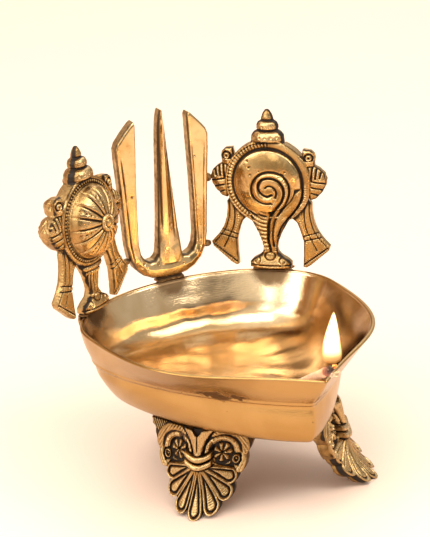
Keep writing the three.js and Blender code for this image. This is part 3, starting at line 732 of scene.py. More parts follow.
def place_emblem(verts, x, y, turn, lean):
    u, v, w = verts.T
    c, s = math.cos(lean), math.sin(lean)
    yy, zz = -w * c + v * s, v * c + w * s      # front is -y, top leans back
    X = x + u * math.cos(turn) - yy * math.sin(turn)
    Y = y + u * math.sin(turn) + yy * math.cos(turn)
    return mm(np.stack([X, Y, RIM_Z + zz], 1))


def cast_noise(v, f, amp=0.05):
    """Slight unevenness of a sand casting along the vertex normals."""
    a, b, c, d = (v[f[:, i]] for i in range(4))
    n = np.cross(c - a, d - b)
    vn = np.zeros_like(v)
    for i in range(4):
        for k in range(3):
            vn[:, k] += np.bincount(f[:, i], n[:, k], len(v))
    vn /= np.linalg.norm(vn, axis=1)[:, None] + 1e-12
    k = noise2(v[:, 0] / 1.1 + 7, v[:, 1] / 1.1 + v[:, 2] / 0.9, 11) + 0.6 * noise2(v[:, 0] / 3.1, v[:, 1] / 3.1 + v[:, 2] / 2.3, 12)
    return v + vn * (amp * k)[:, None]


def build_emblem(name, front, step):
    x, y, turn, lean = EMBLEMS[name]
    v, f, cav = relief(front, chakra_back if name == "chakra" else emblem_back, emblem_outline, (-27, 27, 0.8, 71.5), step=step, dw=0.42, rnd=0.55, side=chakra_side if name == "chakra" else wing_side)
    v = cast_noise(v, f)
    polished = np.zeros(len(v))
    r = np.hypot(v[:, 0], v[:, 1] - DISC_V)
    if name == "conch":
        polished = sstep(14.6, 13.6, r) * (v[:, 2] > 1)
    else:
        polished = 0.2 * sstep(14.6, 13.6, r) * (v[:, 2] > 1)
    ob = make(f"{name}_casting", place_emblem(v, x, y, math.radians(turn), math.radians(lean)), f, "lamp", dict(cav=cav, polish=polished))
    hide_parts(f"{name}_emblem")
    return ob


# ------------------------------------------------------------------------- namam
NAMAM_HALF = [[0.0, 9.4], [2.4, 9.8], [4.2, 10.6], [5.0, 11.4], [6.6, 10.0], [8.8, 9.7], [11.0, 10.9], [12.5, 13.6], [13.2, 18.0], [13.1, 30.0], [12.8, 45.0],
              [12.2, 60.0], [11.9, 69.6], [12.6, 71.4], [14.2, 70.2], [17.4, 66.8], [20.4, 63.2], [21.4, 60.6], [21.1, 54.0], [20.4, 44.0], [19.5, 30.0],
              [18.8, 18.0], [17.8, 12.4], [15.6, 7.6], [12.2, 4.1], [8.0, 2.1], [4.0, 1.5], [0.0, EMBLEM_V0]]
# height, half width to the left, half width to the right
SPEAR = np.array([(8.0, 5.6, 6.6), (11.0, 5.0, 6.4), (14.0, 4.5, 6.1), (18.0, 4.1, 5.8), (26.0, 3.5, 5.1), (36.0, 3.0, 4.2), (48.0, 2.5, 3.1), (58.0, 2.1, 2.3),
                  (64.0, 1.8, 1.8), (68.0, 1.5, 1.4), (71.0, 1.1, 0.95), (73.4, 0.5, 0.45), (74.5, 0.1, 0.1)])


def spear_half(u, v):
    return np.where(u < 0, np.interp(v, SPEAR[:, 0], SPEAR[:, 1], left=0, right=-1), np.interp(v, SPEAR[:, 0], SPEAR[:, 2], left=0, right=-1))


def namam_outline(u, v):
    a = np.abs(u)
    u_part = poly(a, v, NAMAM_HALF + [[-4, EMBLEM_V0], [-4, 9.4]])
    sp = np.where(v > 7.5, np.maximum((a - spear_half(u, v)) * 0.99, v - 74.5), 6.0)
    return smin(u_part, sp, 0.9)


def namam_front(u, v):
    a = np.abs(u)
    s = namam_outline(u, v)
    t = NAMAM_T / 2
    h = t - 0.9 + 0.9 * np.sqrt(np.clip(1 - (1 - np.clip(-s / 1.5, 0, 1)) ** 2, 0, 1))
    # spear: a sharp ridge down the middle, hollow ground on both sides
    sh = np.maximum(spear_half(u, v), 0.3)
    ridge = np.clip(1 - np.abs(u) / sh, 0, 1)
    wgt = sstep(8.5, 18, v) * (a < sh)
    h = h * (1 - wgt) + (t - 1.2 + 2.1 * ridge ** 0.9 * sstep(11, 23, v) + (1 - sstep(11, 23, v)) * 1.2) * wgt
    # full rounded bottom of the U, standing forward
    low = sstep(22, 9, v)
    band = np.clip(-s / 4.4, 0, 1)
    h = h + low * 1.9 * np.sqrt(np.clip(band, 0, 1))
    # filed groove lines down each arm
    o = np.interp(v, [2, 12, 18, 30, 44, 54, 60], [15.0, 16.3, 17.0, 17.6, 18.4, 19.2, 19.6])
    i = np.interp(v, [2, 12, 18, 30, 45, 60], [14, 14.1, 14.3, 14.2, 13.9, 13.3])
    fade = sstep(9, 14, v) * sstep(60, 52, v) * (0.45 + 0.75 * np.clip(noise2(v / 6.0, u * 0 + 3.3, 21) + 0.5, 0, 1))
    h = h + groove(np.abs(a - o), 0.65, 0.62) * fade * np.where(u < 0, 1.0, 0.55)
    h = h + groove(np.abs(a - i), 0.6, 0.42) * sstep(10, 16, v) * sstep(64, 50, v) * np.where(u > 0, 1.0, 0.25)
    cut = 1.6 + (60 - v) * 0.045
    h = h + groove(np.abs(u - cut), 0.8, 0.8) * sstep(18, 25, v) * sstep(64, 52, v)
    h = h + groove(np.abs(u + 1.7 + (60 - v) * 0.012), 0.6, 0.5) * sstep(20, 28, v) * sstep(64, 50, v)
    # a few pits near the bottom
    for px, py, r in ((-12.0, 9.6, 0.5), (-13.2, 8.2, 0.35), (-10.9, 7.6, 0.3), (6.0, 6.6, 0.3), (14.4, 52.0, 0.35), (-15.4, 39.6, 0.45)):
        h = h - 0.55 * np.exp(-(np.hypot(u - px, v - py) / r) ** 2)
    return h


def namam_back(u, v):
    s = namam_outline(u, v)
    return -(NAMAM_T / 2 - 0.7 + 0.7 * np.sqrt(np.clip(1 - (1 - np.clip(-s / 1.2, 0, 1)) ** 2, 0, 1)))


def namam_side(u, v, w):
    """Rough sawn side faces."""
    return 0.10 * noise2(v * 1.9, w * 1.4 + u * 0.5, 31) * sstep(-0.2, 0.2, -(np.abs(w) - 2.6))


def build_namam(step):
    v, f, cav = relief(namam_front, namam_back, namam_outline, (-22.5, 22.5, 0.8, 75.2), step=step, dw=0.42, rnd=0.5, side=namam_side)
    v = cast_noise(v, f, 0.03)
    # front faces polished, side faces left rough and darker
    frontness = sstep(1.1, 2.0, v[:, 2])
    cav = np.where(frontness < 0.5, np.maximum(cav, 0.28), cav)
    ob = make("namam_casting", place_emblem(v, 0, NAMAM_Y, 0, 0), f, "lamp", dict(cav=cav, polish=frontness))
    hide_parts("namam_emblem")
    return ob


# -------------------------------------------------------------------------- feet
FAN_V = 20.5
PETALS = [(0, 20.9), (23, 20.6), (-23, 20.6), (45, 19.5), (-45, 19.5), (66, 17.4), (-66, 17.4)]   # angle, length
TIP_R = 3.35


def petal_field(s, z):
    """Depth inside the nearest petal (negative between petals), its long axis coordinate and cross coordinate."""
    best, al, ac, ln = np.full(np.shape(s), -1e9), np.zeros(np.shape(s)), np.zeros(np.shape(s)), np.full(np.shape(s), 20.0)
    for deg, length in PETALS:
        a = math.radians(deg)
        p = s * math.sin(a) - (z - FAN_V) * math.cos(a)
        q = s * math.cos(a) + (z - FAN_V) * math.sin(a)
        end = length - TIP_R
        hw = 0.5 + (TIP_R - 0.5) * np.clip((p - 1.5) / (end - 1.5), 0, 1) ** 0.9
        d = np.where(p > end, TIP_R - np.hypot(p - end, q), hw - np.abs(q)) + np.minimum(p, 0)
        m = d > best
        best, al, ac, ln = np.where(m, d, best), np.where(m, p, al), np.where(m, q, ac), np.where(m, length, ln)
    return best, al, ac, ln


def foot_outline(s, z):
    a = np.abs(s)
    d = petal_field(s, z)[0]
    fan = -(d + 0.35)
    hub = np.hypot(s, z - FAN_V) - 15.2
    fan = np.minimum(fan, np.maximum(hub, z - FAN_V))
    top = poly(a, z, [[-2, 17], [9.0, 17.0], [15.4, 14.6], [17.6, 15.2], [19.4, 17.6], [19.9, 20.4], [19.6, 22.4], [21.2, 25.0], [22.3, 28.0], [22.2, 30.2], [23.6, 31.6],
                      [24.4, FOOT_TOP_Z + 1], [-2, FOOT_TOP_Z + 1]])
    f = smin(fan, top, 0.6)
    f = np.maximum(f, z - FOOT_TOP_Z)
    f = np.maximum(f, -z)
    hole = np.hypot((s + 7.6 + 0.25 * (z - 29)) / 1.25, (z - 29.2) / 2.5) - 1
    return np.maximum(f, -hole * 1.2)


def foot_front(s, z):
    a = np.abs(s)
    d, p, q, ln = petal_field(s, z)
    # each petal: a raised loop, a cut inside it, and a tongue
    h = -1.5 + 1.55 * sstep(-0.25, 0.35, d)
    h = h + 0.55 * np.exp(-((d - 0.62) / 0.42) ** 2)
    h = h - 0.85 * np.exp(-((d - 1.42) / 0.30) ** 2) * sstep(4, 8, p)
    h = h + 0.50 * sstep(1.55, 2.4, d)
    h = h + 0.07 * np.sin(p * 2 * math.pi / 0.9) * sstep(1.7, 2.1, d)
    h = h + 0.55 * sstep(ln - 3.0, ln - 0.4, p) * (d > -0.2)
    h = h - 0.7 * np.exp(-(np.hypot(p - (ln - 1.15), q) / 0.42) ** 2)
    h = h + 1.0 * sstep(20, 2, np.hypot(s, z - FAN_V))
    # scrolls either side of the bud
    cx, cz = 9.8, 24.0
    r = np.hypot(a - cx, z - cz)
    ang = np.arctan2(z - cz, a - cx)
    wob = 0.10 * np.sin(ang * 9 + s)
    arc = sstep(-0.75, -0.35, ang) + (ang < -2.6)
    sc = 0.15 + 0.12 * noise2(s * 1.3, z * 1.3, 71)
    sc = sc + (bead(np.abs(r - 6.35), 1.05, 1.25) + wob * (np.abs(r - 6.35) < 1)) * np.clip(arc, 0, 1)
    sc = sc - 0.30 * (np.cos(ang * 22) > 0.35) * np.exp(-((r - 6.35) / 0.55) ** 2) * np.clip(arc, 0, 1)
    sc = sc + groove(np.abs(r - 7.75), 0.7, 0.75) * np.clip(arc, 0, 1)
    # outer band with slanting cuts that runs down beside the petals
    band, along = line(a, z, curve([[6.5, 32.4], [11.0, 33.0], [15.5, 31.6], [18.6, 28.4], [19.6, 24.4], [18.9, 20.4], [17.2, 16.8]], 5))
    sc = np.maximum(sc, 0.35 + bead(band, 1.7, 1.1))
    sc = sc - 0.34 * (np.sin((a * 1.0 + z * 0.7) * 2 * math.pi / 1.5) > 0.2) * np.exp(-(band / 1.1) ** 2) * (z > 22.5)
    sc = sc + groove(band, 0.45, 0.4) * (z < 23)
    # top corner leaf
    corner = poly(a, z, [[15.5, 34.5], [17.6, 31.8], [20.4, 29.6], [23.4, 31.0], [24.6, 34.5]])
    sc = np.where(corner < 0, 0.75 + 0.34 * np.sin((a * 1.1 - z * 0.6) * 2 * math.pi / 1.35), sc)
    # rosette in its dark bed, with a small ring under the scroll's end
    bed = r < 5.0
    ros = -1.15 + 1.15 * sstep(4.4, 3.2, r) * (0.62 + 0.45 * np.cos(ang * 7)) + 0.35 * np.exp(-((r - 1.5) / 0.5) ** 2) - 1.0 * np.exp(-(r / 0.55) ** 2)
    sc = np.where(bed, ros, sc)
    bed2 = poly(a, z, [[12.0, 22.0], [14.2, 24.2], [17.2, 23.6], [18.0, 20.8], [16.6, 18.2], [13.4, 18.6]])
    sc = np.where(bed2 < 0, np.minimum(sc, -0.9 + 0.3 * np.abs(bed2) * 0), sc)
    rr = np.hypot((a - 15.5) / 0.9, z - 21.2)
    sc = sc + 1.75 * np.exp(-((rr - 1.45) / 0.42) ** 2) + 1.3 * np.exp(-(rr / 0.55) ** 2)
    # the open side of the casting beside the bud is cut deep
    deep = np.hypot((a - 5.2 - 0.12 * (z - 25)) / 0.85, (z - 26.4) / 3.2)
    sc = sc - 1.0 * np.exp(-(deep / 0.8) ** 4) * (a > 3.0)
    # bud: two curled leaves on a stem, open at the top
    half = np.interp(z, [21.0, 24.0, 27.0, 29.5, 31.5, 33.0, 34.1], [1.7, 1.9, 2.5, 3.6, 5.0, 6.4, 6.9])
    bud = 0.7 + 2.0 * np.sqrt(np.clip(1 - (a / half) ** 2, 0, 1))
    bud = bud + groove(a, 0.55, 0.9) * sstep(24, 27, z) + 0.10 * np.sin(a * 2 * math.pi / 0.8 + z * 0.6) * (a > 0.7)
    bud = np.where(a < np.interp(z, [31.2, 34.1], [0.0, 2.6], left=-1), 0.1, bud)
    sc = np.where((a < half) & (z > 21.0), bud, sc)
    sc = sc + groove(np.abs(a - half - 0.3), 0.9, 0.9) * (z > 23.0)
    up = sstep(18.6, 20.2, z + 0.02 * a + 3.6 * sstep(13.5, 16.5, a))
    h = h * (1 - up) + sc * up
    # knot: two tied bands whose ends turn up
    for z0, hgt in ((22.9, 1.45), (19.9, 1.65)):
        zc = z0 - 0.6 + 0.045 * s * s
        on = (np.abs(z - zc) < 1.25) & (a < 5.9)
        kn = 1.9 + bead(np.abs(z - zc), 1.3, hgt) - 0.35 * (a / 5.9) ** 2
        kn = kn - 0.45 * np.exp(-(np.hypot(s - 0.6, z - zc) / 0.36) ** 2) - 0.3 * np.exp(-(np.hypot(s + 3.4, z - zc) / 0.3) ** 2)
        h = np.where(on, kn, h)
        h = h + groove(np.abs(np.abs(z - zc) - 1.5), 0.5, 0.9) * (a < 6.3)
    return h


def foot_back(s, z):
    return -4.0 + 0.25 * noise2(s / 3.0, z / 3.0, 81)


def build_foot(name, step):
    x, y, facing, flare, sweep = FEET[name]
    f_, sw = math.radians(facing), math.radians(sweep)
    v, f, cav = relief(foot_front, foot_back, foot_outline, (-25.2, 25.2, 0.0, FOOT_TOP_Z), step=step, dw=0.42, rnd=0.45)
    v = cast_noise(v, f, 0.10)
    s, z, w = v.T
    z = np.clip(z, 0, FOOT_TOP_Z)
    n, side = np.array([math.sin(f_), -math.cos(f_)]), np.array([math.cos(f_), math.sin(f_)])
    zz = np.linspace(0, FOOT_TOP_Z, 200)
    out = flare * np.interp(z, FOOT_ROWS[:, 0], FOOT_ROWS[:, 1])
    slope = np.interp(z, zz, np.gradient(flare * np.interp(zz, FOOT_ROWS[:, 0], FOOT_ROWS[:, 1]), FOOT_TOP_Z / 199))
    w = np.where(w < 0, w * np.sqrt(1 + slope ** 2 * 0.6), w)
    shift = out + w - (np.sqrt(s * s + 6.25) - 2.5) * math.sin(sw)
    P = np.array([x, y])[None] + (s * math.cos(sw))[:, None] * side + shift[:, None] * n
    ob = make(name + "_casting", mm(np.column_stack([P, z])), f, "lamp", dict(cav=cav, polish=np.zeros(len(v))))
    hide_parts(name)
    return ob


# ------------------------------------------------------------------ lugs on the rim
def build_lug(name, phi, half, depth, bulge):
    """A rounded block that grips the wall: a bulged skin over a strip of the wall."""
    nu, nv = 40, 30
    r0 = float(rimR(np.array([phi]))[0])
    us = np.linspace(-1, 1, nu)
    loop = []
    top, bot = RIM_Z - GAP, RIM_Z - GAP - depth
    m = 44
    ang = np.arange(m) * 2 * math.pi / m
    c4 = np.sign(np.cos(ang)) * np.abs(np.cos(ang)) ** 0.45
    s4 = np.sign(np.sin(ang)) * np.abs(np.sin(ang)) ** 0.55
    v = []
    for u in us:
        taper = max(0.0, 1 - abs(u) ** 6) ** 0.5
        a = phi + u * half / r0
        for c, s in zip(c4, s4):
            z = (top + bot) / 2 + (top - bot) / 2 * s * (0.55 + 0.45 * taper)
            wall = float(wallR(np.array([a]), np.array([min(max(z, BASE_Z), RIM_Z)]))[0])
            r = wall + GAP * 0.4 + bulge * (0.5 + 0.5 * c) * (0.25 + 0.75 * taper)
            r += 0.12 * float(noise2(np.array(u * 3 + 4), np.array(z / 2.2), 41))
            v.append([r * math.sin(a), -r * math.cos(a), z])
    v = np.array(v)
    f = []
    for i in range(nu - 1):
        for j in range(m):
            k = (j + 1) % m
            f.append([i * m + j, i * m + k, (i + 1) * m + k, (i + 1) * m + j])
    n = len(v)
    v = np.vstack([v, v[:m].mean(0), v[-m:].mean(0)])
    for j in range(m):
        k = (j + 1) % m
        f.append([n, k, j])
        f.append([n + 1, (nu - 1) * m + j, (nu - 1) * m + k])
    cav = 0.10 + 0.25 * sstep(RIM_Z - 3, RIM_Z - depth, v[:, 2])
    ob = make(name + "_casting", mm(v), f, "lamp", dict(cav=cav, polish=np.zeros(len(v))))
    fix_normals(ob)
    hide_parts(name)
    return ob


def build_blob(name, c, r, seed):
    """An uneven drop of braze filler bridging two castings."""
    nu, nv = 36, 22
    v = []
    for j in range(1, nv):
        th = math.pi * j / nv
        for i in range(nu):
            a = 2 * math.pi * i / nu
            d = np.array([math.sin(th) * math.cos(a), math.sin(th) * math.sin(a), math.cos(th)])
            k = 1 + 0.20 * float(noise2(np.array(d[0] * 1.7 + d[2] + seed), np.array(d[1] * 1.7 + seed), seed)) + 0.07 * float(noise2(np.array(d[0] * 5 + seed), np.array(d[2] * 5 + d[1] * 3), seed + 1))
            v.append(np.array(c) + d * np.array(r) * k)
    top, bot = len(v), len(v) + 1
    v += [np.array(c) + np.array([0, 0, r[2]]), np.array(c) - np.array([0, 0, r[2]])]
    f = []
    for i in range(nu):
        k = (i + 1) % nu
        f.append([top, i, k])
        f.append([bot, (nv - 2) * nu + k, (nv - 2) * nu + i])
        for j in range(nv - 2):
            f.append([j * nu + i, (j + 1) * nu + i, (j + 1) * nu + k, j * nu + k])
    v = np.array(v)
    ob = make(name + "_drop", mm(v), f, "lamp", dict(cav=np.full(len(v), 0.4), polish=np.zeros(len(v))))
    fix_normals(ob)
    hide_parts(name)
    return ob


def fix_normals(ob):
    """Turn a closed mesh outward if its signed volume is negative."""
    import bmesh
    bm = bmesh.new()
    bm.from_mesh(ob.data)
    if bm.calc_volume(signed=True) < 0:
        bmesh.ops.reverse_faces(bm, faces=bm.faces)
    bm.to_mesh(ob.data)
    bm.free()


# ------------------------------------------------------------------ wick and flame
def wick_axis():
    d = np.array([0, -math.cos(WICK_SLOPE), math.sin(WICK_SLOPE)])
    tip = np.array(WICK_TIP)
    return tip - d * WICK_LEN, tip, d


def build_wick():
    a, b, d = wick_axis()
    side = np.array([1.0, 0, 0])
    up = np.cross(side, d)
    n = 150
    t = np.linspace(0, 1, n)
    verts, faces, soot = [], [], []
    rng = np.random.default_rng(7)

    def add(path, rad, sides, wob, seed, s0=0.0):
        v, f = tube(path, rad, sides, wob, seed)
        o = sum(len(x) for x in verts)
        verts.append(v)
        faces.extend([[i + o for i in q] for q in f])
    # four twisted strands
    for k in range(4):
        th = 2 * math.pi * (k / 4) + t * WICK_LEN / 7.5 * 2 * math.pi
        r = 0.82 * (1 - 0.25 * sstep(0.9, 1, t))
        path = a + np.outer(t * WICK_LEN, d) + (r * np.cos(th))[:, None] * side + (r * np.sin(th))[:, None] * up
        rad = 0.92 * (0.75 + 0.25 * sstep(0, 0.05, t)) * (1 - 0.3 * sstep(0.93, 1, t)) + 0.05 * noise2(t * 60, t * 0 + k, 50)
        add(path, rad, 9, 0.16, k)
    # loose fibres along the rope
    for k in range(90):
        t0 = rng.uniform(0.02, 0.9)
        ln = rng.uniform(0.04, 0.14)
        th0 = rng.uniform(0, 2 * math.pi)
        tt = np.linspace(0, 1, 9)
        s = (t0 + tt * ln) * WICK_LEN
        th = th0 + tt * ln * WICK_LEN / 7.5 * 2 * math.pi * rng.uniform(0.6, 1.4)
        r = 1.66 + 0.22 * np.sin(tt * math.pi) * rng.uniform(0.2, 1.0)
        path = a + np.outer(s, d) + (r * np.cos(th))[:, None] * side + (r * np.sin(th))[:, None] * up
        add(path, 0.10 * np.sin(np.clip(tt, 0.06, 0.94) * math.pi) ** 0.5, 4, 0.0, 9)
    # a tuft bent upward at the burning end
    for k in range(26):
        tt = np.linspace(0, 1, 10)
        th = rng.uniform(0, 2 * math.pi)
        r = rng.uniform(0.1, 1.1)
        start = b - d * rng.uniform(1.5, 3.5) + r * math.cos(th) * side + r * math.sin(th) * up
        bend = np.array([rng.uniform(-0.35, 0.35), rng.uniform(-0.9, -0.1), rng.uniform(0.5, 1.3)])
        ln = rng.uniform(2.2, 4.2)
        path = start + np.outer(tt * ln, d) + np.outer(tt ** 2 * ln * 0.55, bend)
        add(path, 0.26 * (1 - tt * 0.85) + 0.03, 5, 0.1, k)
    n_wick = sum(len(x) for x in verts)
    # pale fibres that spread past the flame into the point of the spout
    for k in range(46):
        tt = np.linspace(0, 1, 9)
        th = rng.uniform(0, 2 * math.pi)
        r = rng.uniform(0.2, 1.5)
        start = b + np.array([0.8, -0.6, -1.9]) + r * math.cos(th) * side + 0.6 * r * math.sin(th) * up
        bend = np.array([rng.uniform(-0.5, 0.9), rng.uniform(-0.6, 0.4), rng.uniform(-0.3, 0.7)])
        ln = rng.uniform(1.6, 3.4)
        path = start + np.outer(tt * ln, d * 0.75) + np.outer(tt ** 2 * ln * 0.5, bend)
        add(path, 0.34 * (1 - tt * 0.8) + 0.04, 5, 0.1, k)
    v = np.vstack(verts)
    along = (v - a) @ d / WICK_LEN
    along[n_wick:] = 0.12
    ob = make("wick_cotton", mm(v), faces, "wick", dict(along=along))
    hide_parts("wick")
    # ember
    m, k = 14, 20
    ev, ef = [], []
    c = b + np.array([1.7, -0.4, 1.3])
    for i in range(1, m):
        for j in range(k):
            la, lo = math.pi * i / m, 2 * math.pi * j / k
            q = np.array([math.sin(la) * math.cos(lo), math.sin(la) * math.sin(lo), math.cos(la)])
            r = 1.0 * (1 + 0.45 * float(noise2(np.array(q[0] * 2.4 + 5), np.array(q[2] * 2.4 + q[1]), 61)))
            ev.append(c + r * q * [1.1, 0.9, 0.9])
    ev += [c + [0, 0, 0.9], c - [0, 0, 0.9]]
    for i in range(m - 2):
        for j in range(k):
            jj = (j + 1) % k
            ef.append([i * k + j, (i + 1) * k + j, (i + 1) * k + jj, i * k + jj])
    for j in range(k):
        jj = (j + 1) % k
        ef.append([(m - 1) * k, j, jj])
        ef.append([(m - 1) * k + 1, (m - 2) * k + jj, (m - 2) * k + j])
    em = make("wick_ember", mm(np.array(ev)), ef, "wick")
    fix_normals(em)
    return ob, em


FLAME_C = np.array([-0.2, -98.2, 76.2])
FLAME_PROFILE = np.array([[0.0, 0.0], [0.012, 0.55], [0.04, 0.84], [0.09, 0.97], [0.16, 1.0], [0.28, 0.95], [0.42, 0.84], [0.55, 0.71], [0.68, 0.55],
                          [0.80, 0.38], [0.90, 0.23], [0.96, 0.12], [1.0, 0.0]])


def build_flame(name, height, half, lift):
    prof = curve(FLAME_PROFILE, 5)
    prof[:, 1] = np.clip(prof[:, 1], 0, None)
    k = 36
    v, at = [], []
    rows = prof[1:-1]
    for t, r in rows:
        z = FLAME_C[2] + lift + t * height
        bend = 0.9 * (t ** 2) - 0.25 * math.sin(t * 5)
        for j in range(k):
            th = 2 * math.pi * j / k
            v.append([FLAME_C[0] + bend + half * r * math.cos(th), FLAME_C[1] + half * r * math.sin(th), z])
            at.append(t)
    n = len(rows)
    v += [[FLAME_C[0], FLAME_C[1], FLAME_C[2] + lift], [FLAME_C[0] + 0.95, FLAME_C[1], FLAME_C[2] + lift + height]]
    at += [0.0, 1.0]
    f = []
    for i in range(n - 1):
        for j in range(k):
            jj = (j + 1) % k
            f.append([i * k + j, i * k + jj, (i + 1) * k + jj, (i + 1) * k + j])
    for j in range(k):
        jj = (j + 1) % k
        f.append([n * k, jj, j])
        f.append([n * k + 1, (n - 1) * k + j, (n - 1) * k + jj])
    ob = make(name, mm(np.array(v)), f, "wick", dict(rise=np.array(at)))
    fix_normals(ob)
    return ob


# ------------------------------------------------------------------------ materials
class Graph:
    def __init__(self, name):
        self.mat = bpy.data.materials.new(name)
        self.mat.use_nodes = True
        self.t = self.mat.node_tree
        self.t.nodes.clear()
        self.out = self.t.nodes.new("ShaderNodeOutputMaterial")
        self.co = self.t.nodes.new("ShaderNodeTexCoord").outputs["Object"]

    def node(self, kind, props=None, **ins):
        n = self.t.nodes.new(kind)
        for k, v in (props or {}).items():
            setattr(n, k, v)
        for k, v in ins.items():
            key = int(k[1:]) if k[0] == "_" else k.replace("__", " ")
            sock = n.inputs[key]
            if isinstance(v, bpy.types.NodeSocket):
                self.t.links.new(v, sock)
            else:
                sock.default_value = v
        return n

    def attr(self, name):
        return self.node("ShaderNodeAttribute", dict(attribute_name=name)).outputs["Fac"]

    def noise(self, scale, detail=4.0, rough=0.55, dist=0.0, vec=None):
        return self.node("ShaderNodeTexNoise", Vector=vec or self.co, Scale=scale, Detail=detail, Roughness=rough, Distortion=dist).outputs["Fac"]

    def math(self, op, a, b=0.0, c=None, clamp=False):
        n = self.t.nodes.new("ShaderNodeMath")
        n.operation, n.use_clamp = op, clamp
        for i, v in enumerate((a, b, c)):
            if v is None:
                continue
            if isinstance(v, bpy.types.NodeSocket):
                self.t.links.new(v, n.inputs[i])
            else:
                n.inputs[i].default_value = v
        return n.outputs[0]

    def ramp(self, x, a, b, lo=0.0, hi=1.0):
        return self.node("ShaderNodeMapRange", dict(interpolation_type="SMOOTHSTEP"), _0=x, _1=a, _2=b, _3=lo, _4=hi).outputs["Result"]

    def mix(self, fac, a, b):
        n = self.t.nodes.new("ShaderNodeMix")
        n.data_type = "RGBA"
        for i, v in ((0, fac), (6, a), (7, b)):
            if isinstance(v, bpy.types.NodeSocket):
                self.t.links.new(v, n.inputs[i])
            else:
                n.inputs[i].default_value = v if i == 0 else (*v, 1.0)
        return n.outputs[2]

    def bump(self, h, dist, strength=1.0, normal=None):
        n = self.node("ShaderNodeBump", Height=h, Strength=strength, Distance=dist)
        if normal is not None:
            self.t.links.new(normal, n.inputs["Normal"])
        return n.outputs["Normal"]

    def surface(self, sock):
        self.t.links.new(sock, self.out.inputs["Surface"])
        return self.mat


BRIGHT, GOLD, DEEP, BROWN, SOOT = (0.76, 0.54, 0.27), (0.65, 0.42, 0.175), (0.45, 0.26, 0.09), (0.095, 0.047, 0.017), (0.016, 0.009, 0.005)


def brass(name, rough_lo, rough_hi, patina, grain, polish_gain=0.0, pale=0.0, foot=False):
    g = Graph(name)
    cav = g.attr("cav")
    pol = g.attr("polish")
    large = g.noise(55, 3, 0.5, 0.4)
    mid = g.noise(310, 5, 0.62, 0.3)
    fine = g.noise(2300, 3, 0.6)
    streak = g.node("ShaderNodeMapping", Vector=g.co).outputs["Vector"]
    base = g.mix(g.ramp(large, 0.36, 0.66), BRIGHT if pale else GOLD, GOLD if pale else DEEP)
    base = g.mix(g.math("MULTIPLY", g.ramp(mid, 0.52, 0.74), 0.35), base, DEEP)
    if foot:
        base = g.mix(0.80, base, DEEP)
    # tarnish settles in recesses, rubbed bright on the high points
    rec = g.math("ADD", cav, g.math("MULTIPLY", g.math("SUBTRACT", mid, 0.5), 0.55))
    darkening = g.math("MULTIPLY", g.ramp(rec, -0.02, 0.46), patina, clamp=True)
    deep = g.math("MULTIPLY", g.ramp(rec, 0.36, 0.80), patina, clamp=True)
    base = g.mix(darkening, base, BROWN)
    base = g.mix(deep, base, SOOT)
    rub = g.ramp(g.math("SUBTRACT", g.math("MULTIPLY", cav, -1.0), g.math("MULTIPLY", g.math("SUBTRACT", mid, 0.5), 0.4)), 0.12, 0.6)
    base = g.mix(g.math("MULTIPLY", rub, 0.62), base, BRIGHT)
    rough = g.ramp(mid, 0.35, 0.72, rough_lo, rough_hi)
    rough = g.math("ADD", rough, g.math("MULTIPLY", darkening, 0.30))
    rough = g.math("SUBTRACT", rough, g.math("MULTIPLY", rub, 0.08))
    rough = g.math("SUBTRACT", rough, g.math("MULTIPLY", pol, polish_gain), clamp=True)
    rough = g.math("MAXIMUM", rough, 0.10)
    amount = g.math("SUBTRACT", 1.0, g.math("MULTIPLY", pol, 0.75))
    nrm = g.bump(g.math("MULTIPLY", mid, amount), 0.00035 * grain, 0.9)
    nrm = g.bump(g.math("MULTIPLY", fine, amount), 0.00010 * grain, 0.8, nrm)
    metal = g.math("SUBTRACT", 1.0, g.math("MULTIPLY", deep, 0.6))
    age = {"brass_cast_emblem": 0.17, "brass_cast_foot": 0.26, "brass_filed": 0.04}[name]
    base = g.mix(age, base, (0.02, 0.009, 0.002))
    b = g.node("ShaderNodeBsdfPrincipled", Base__Color=base, Metallic=metal, Roughness=rough, Normal=nrm)
    return g.surface(b.outputs[0])


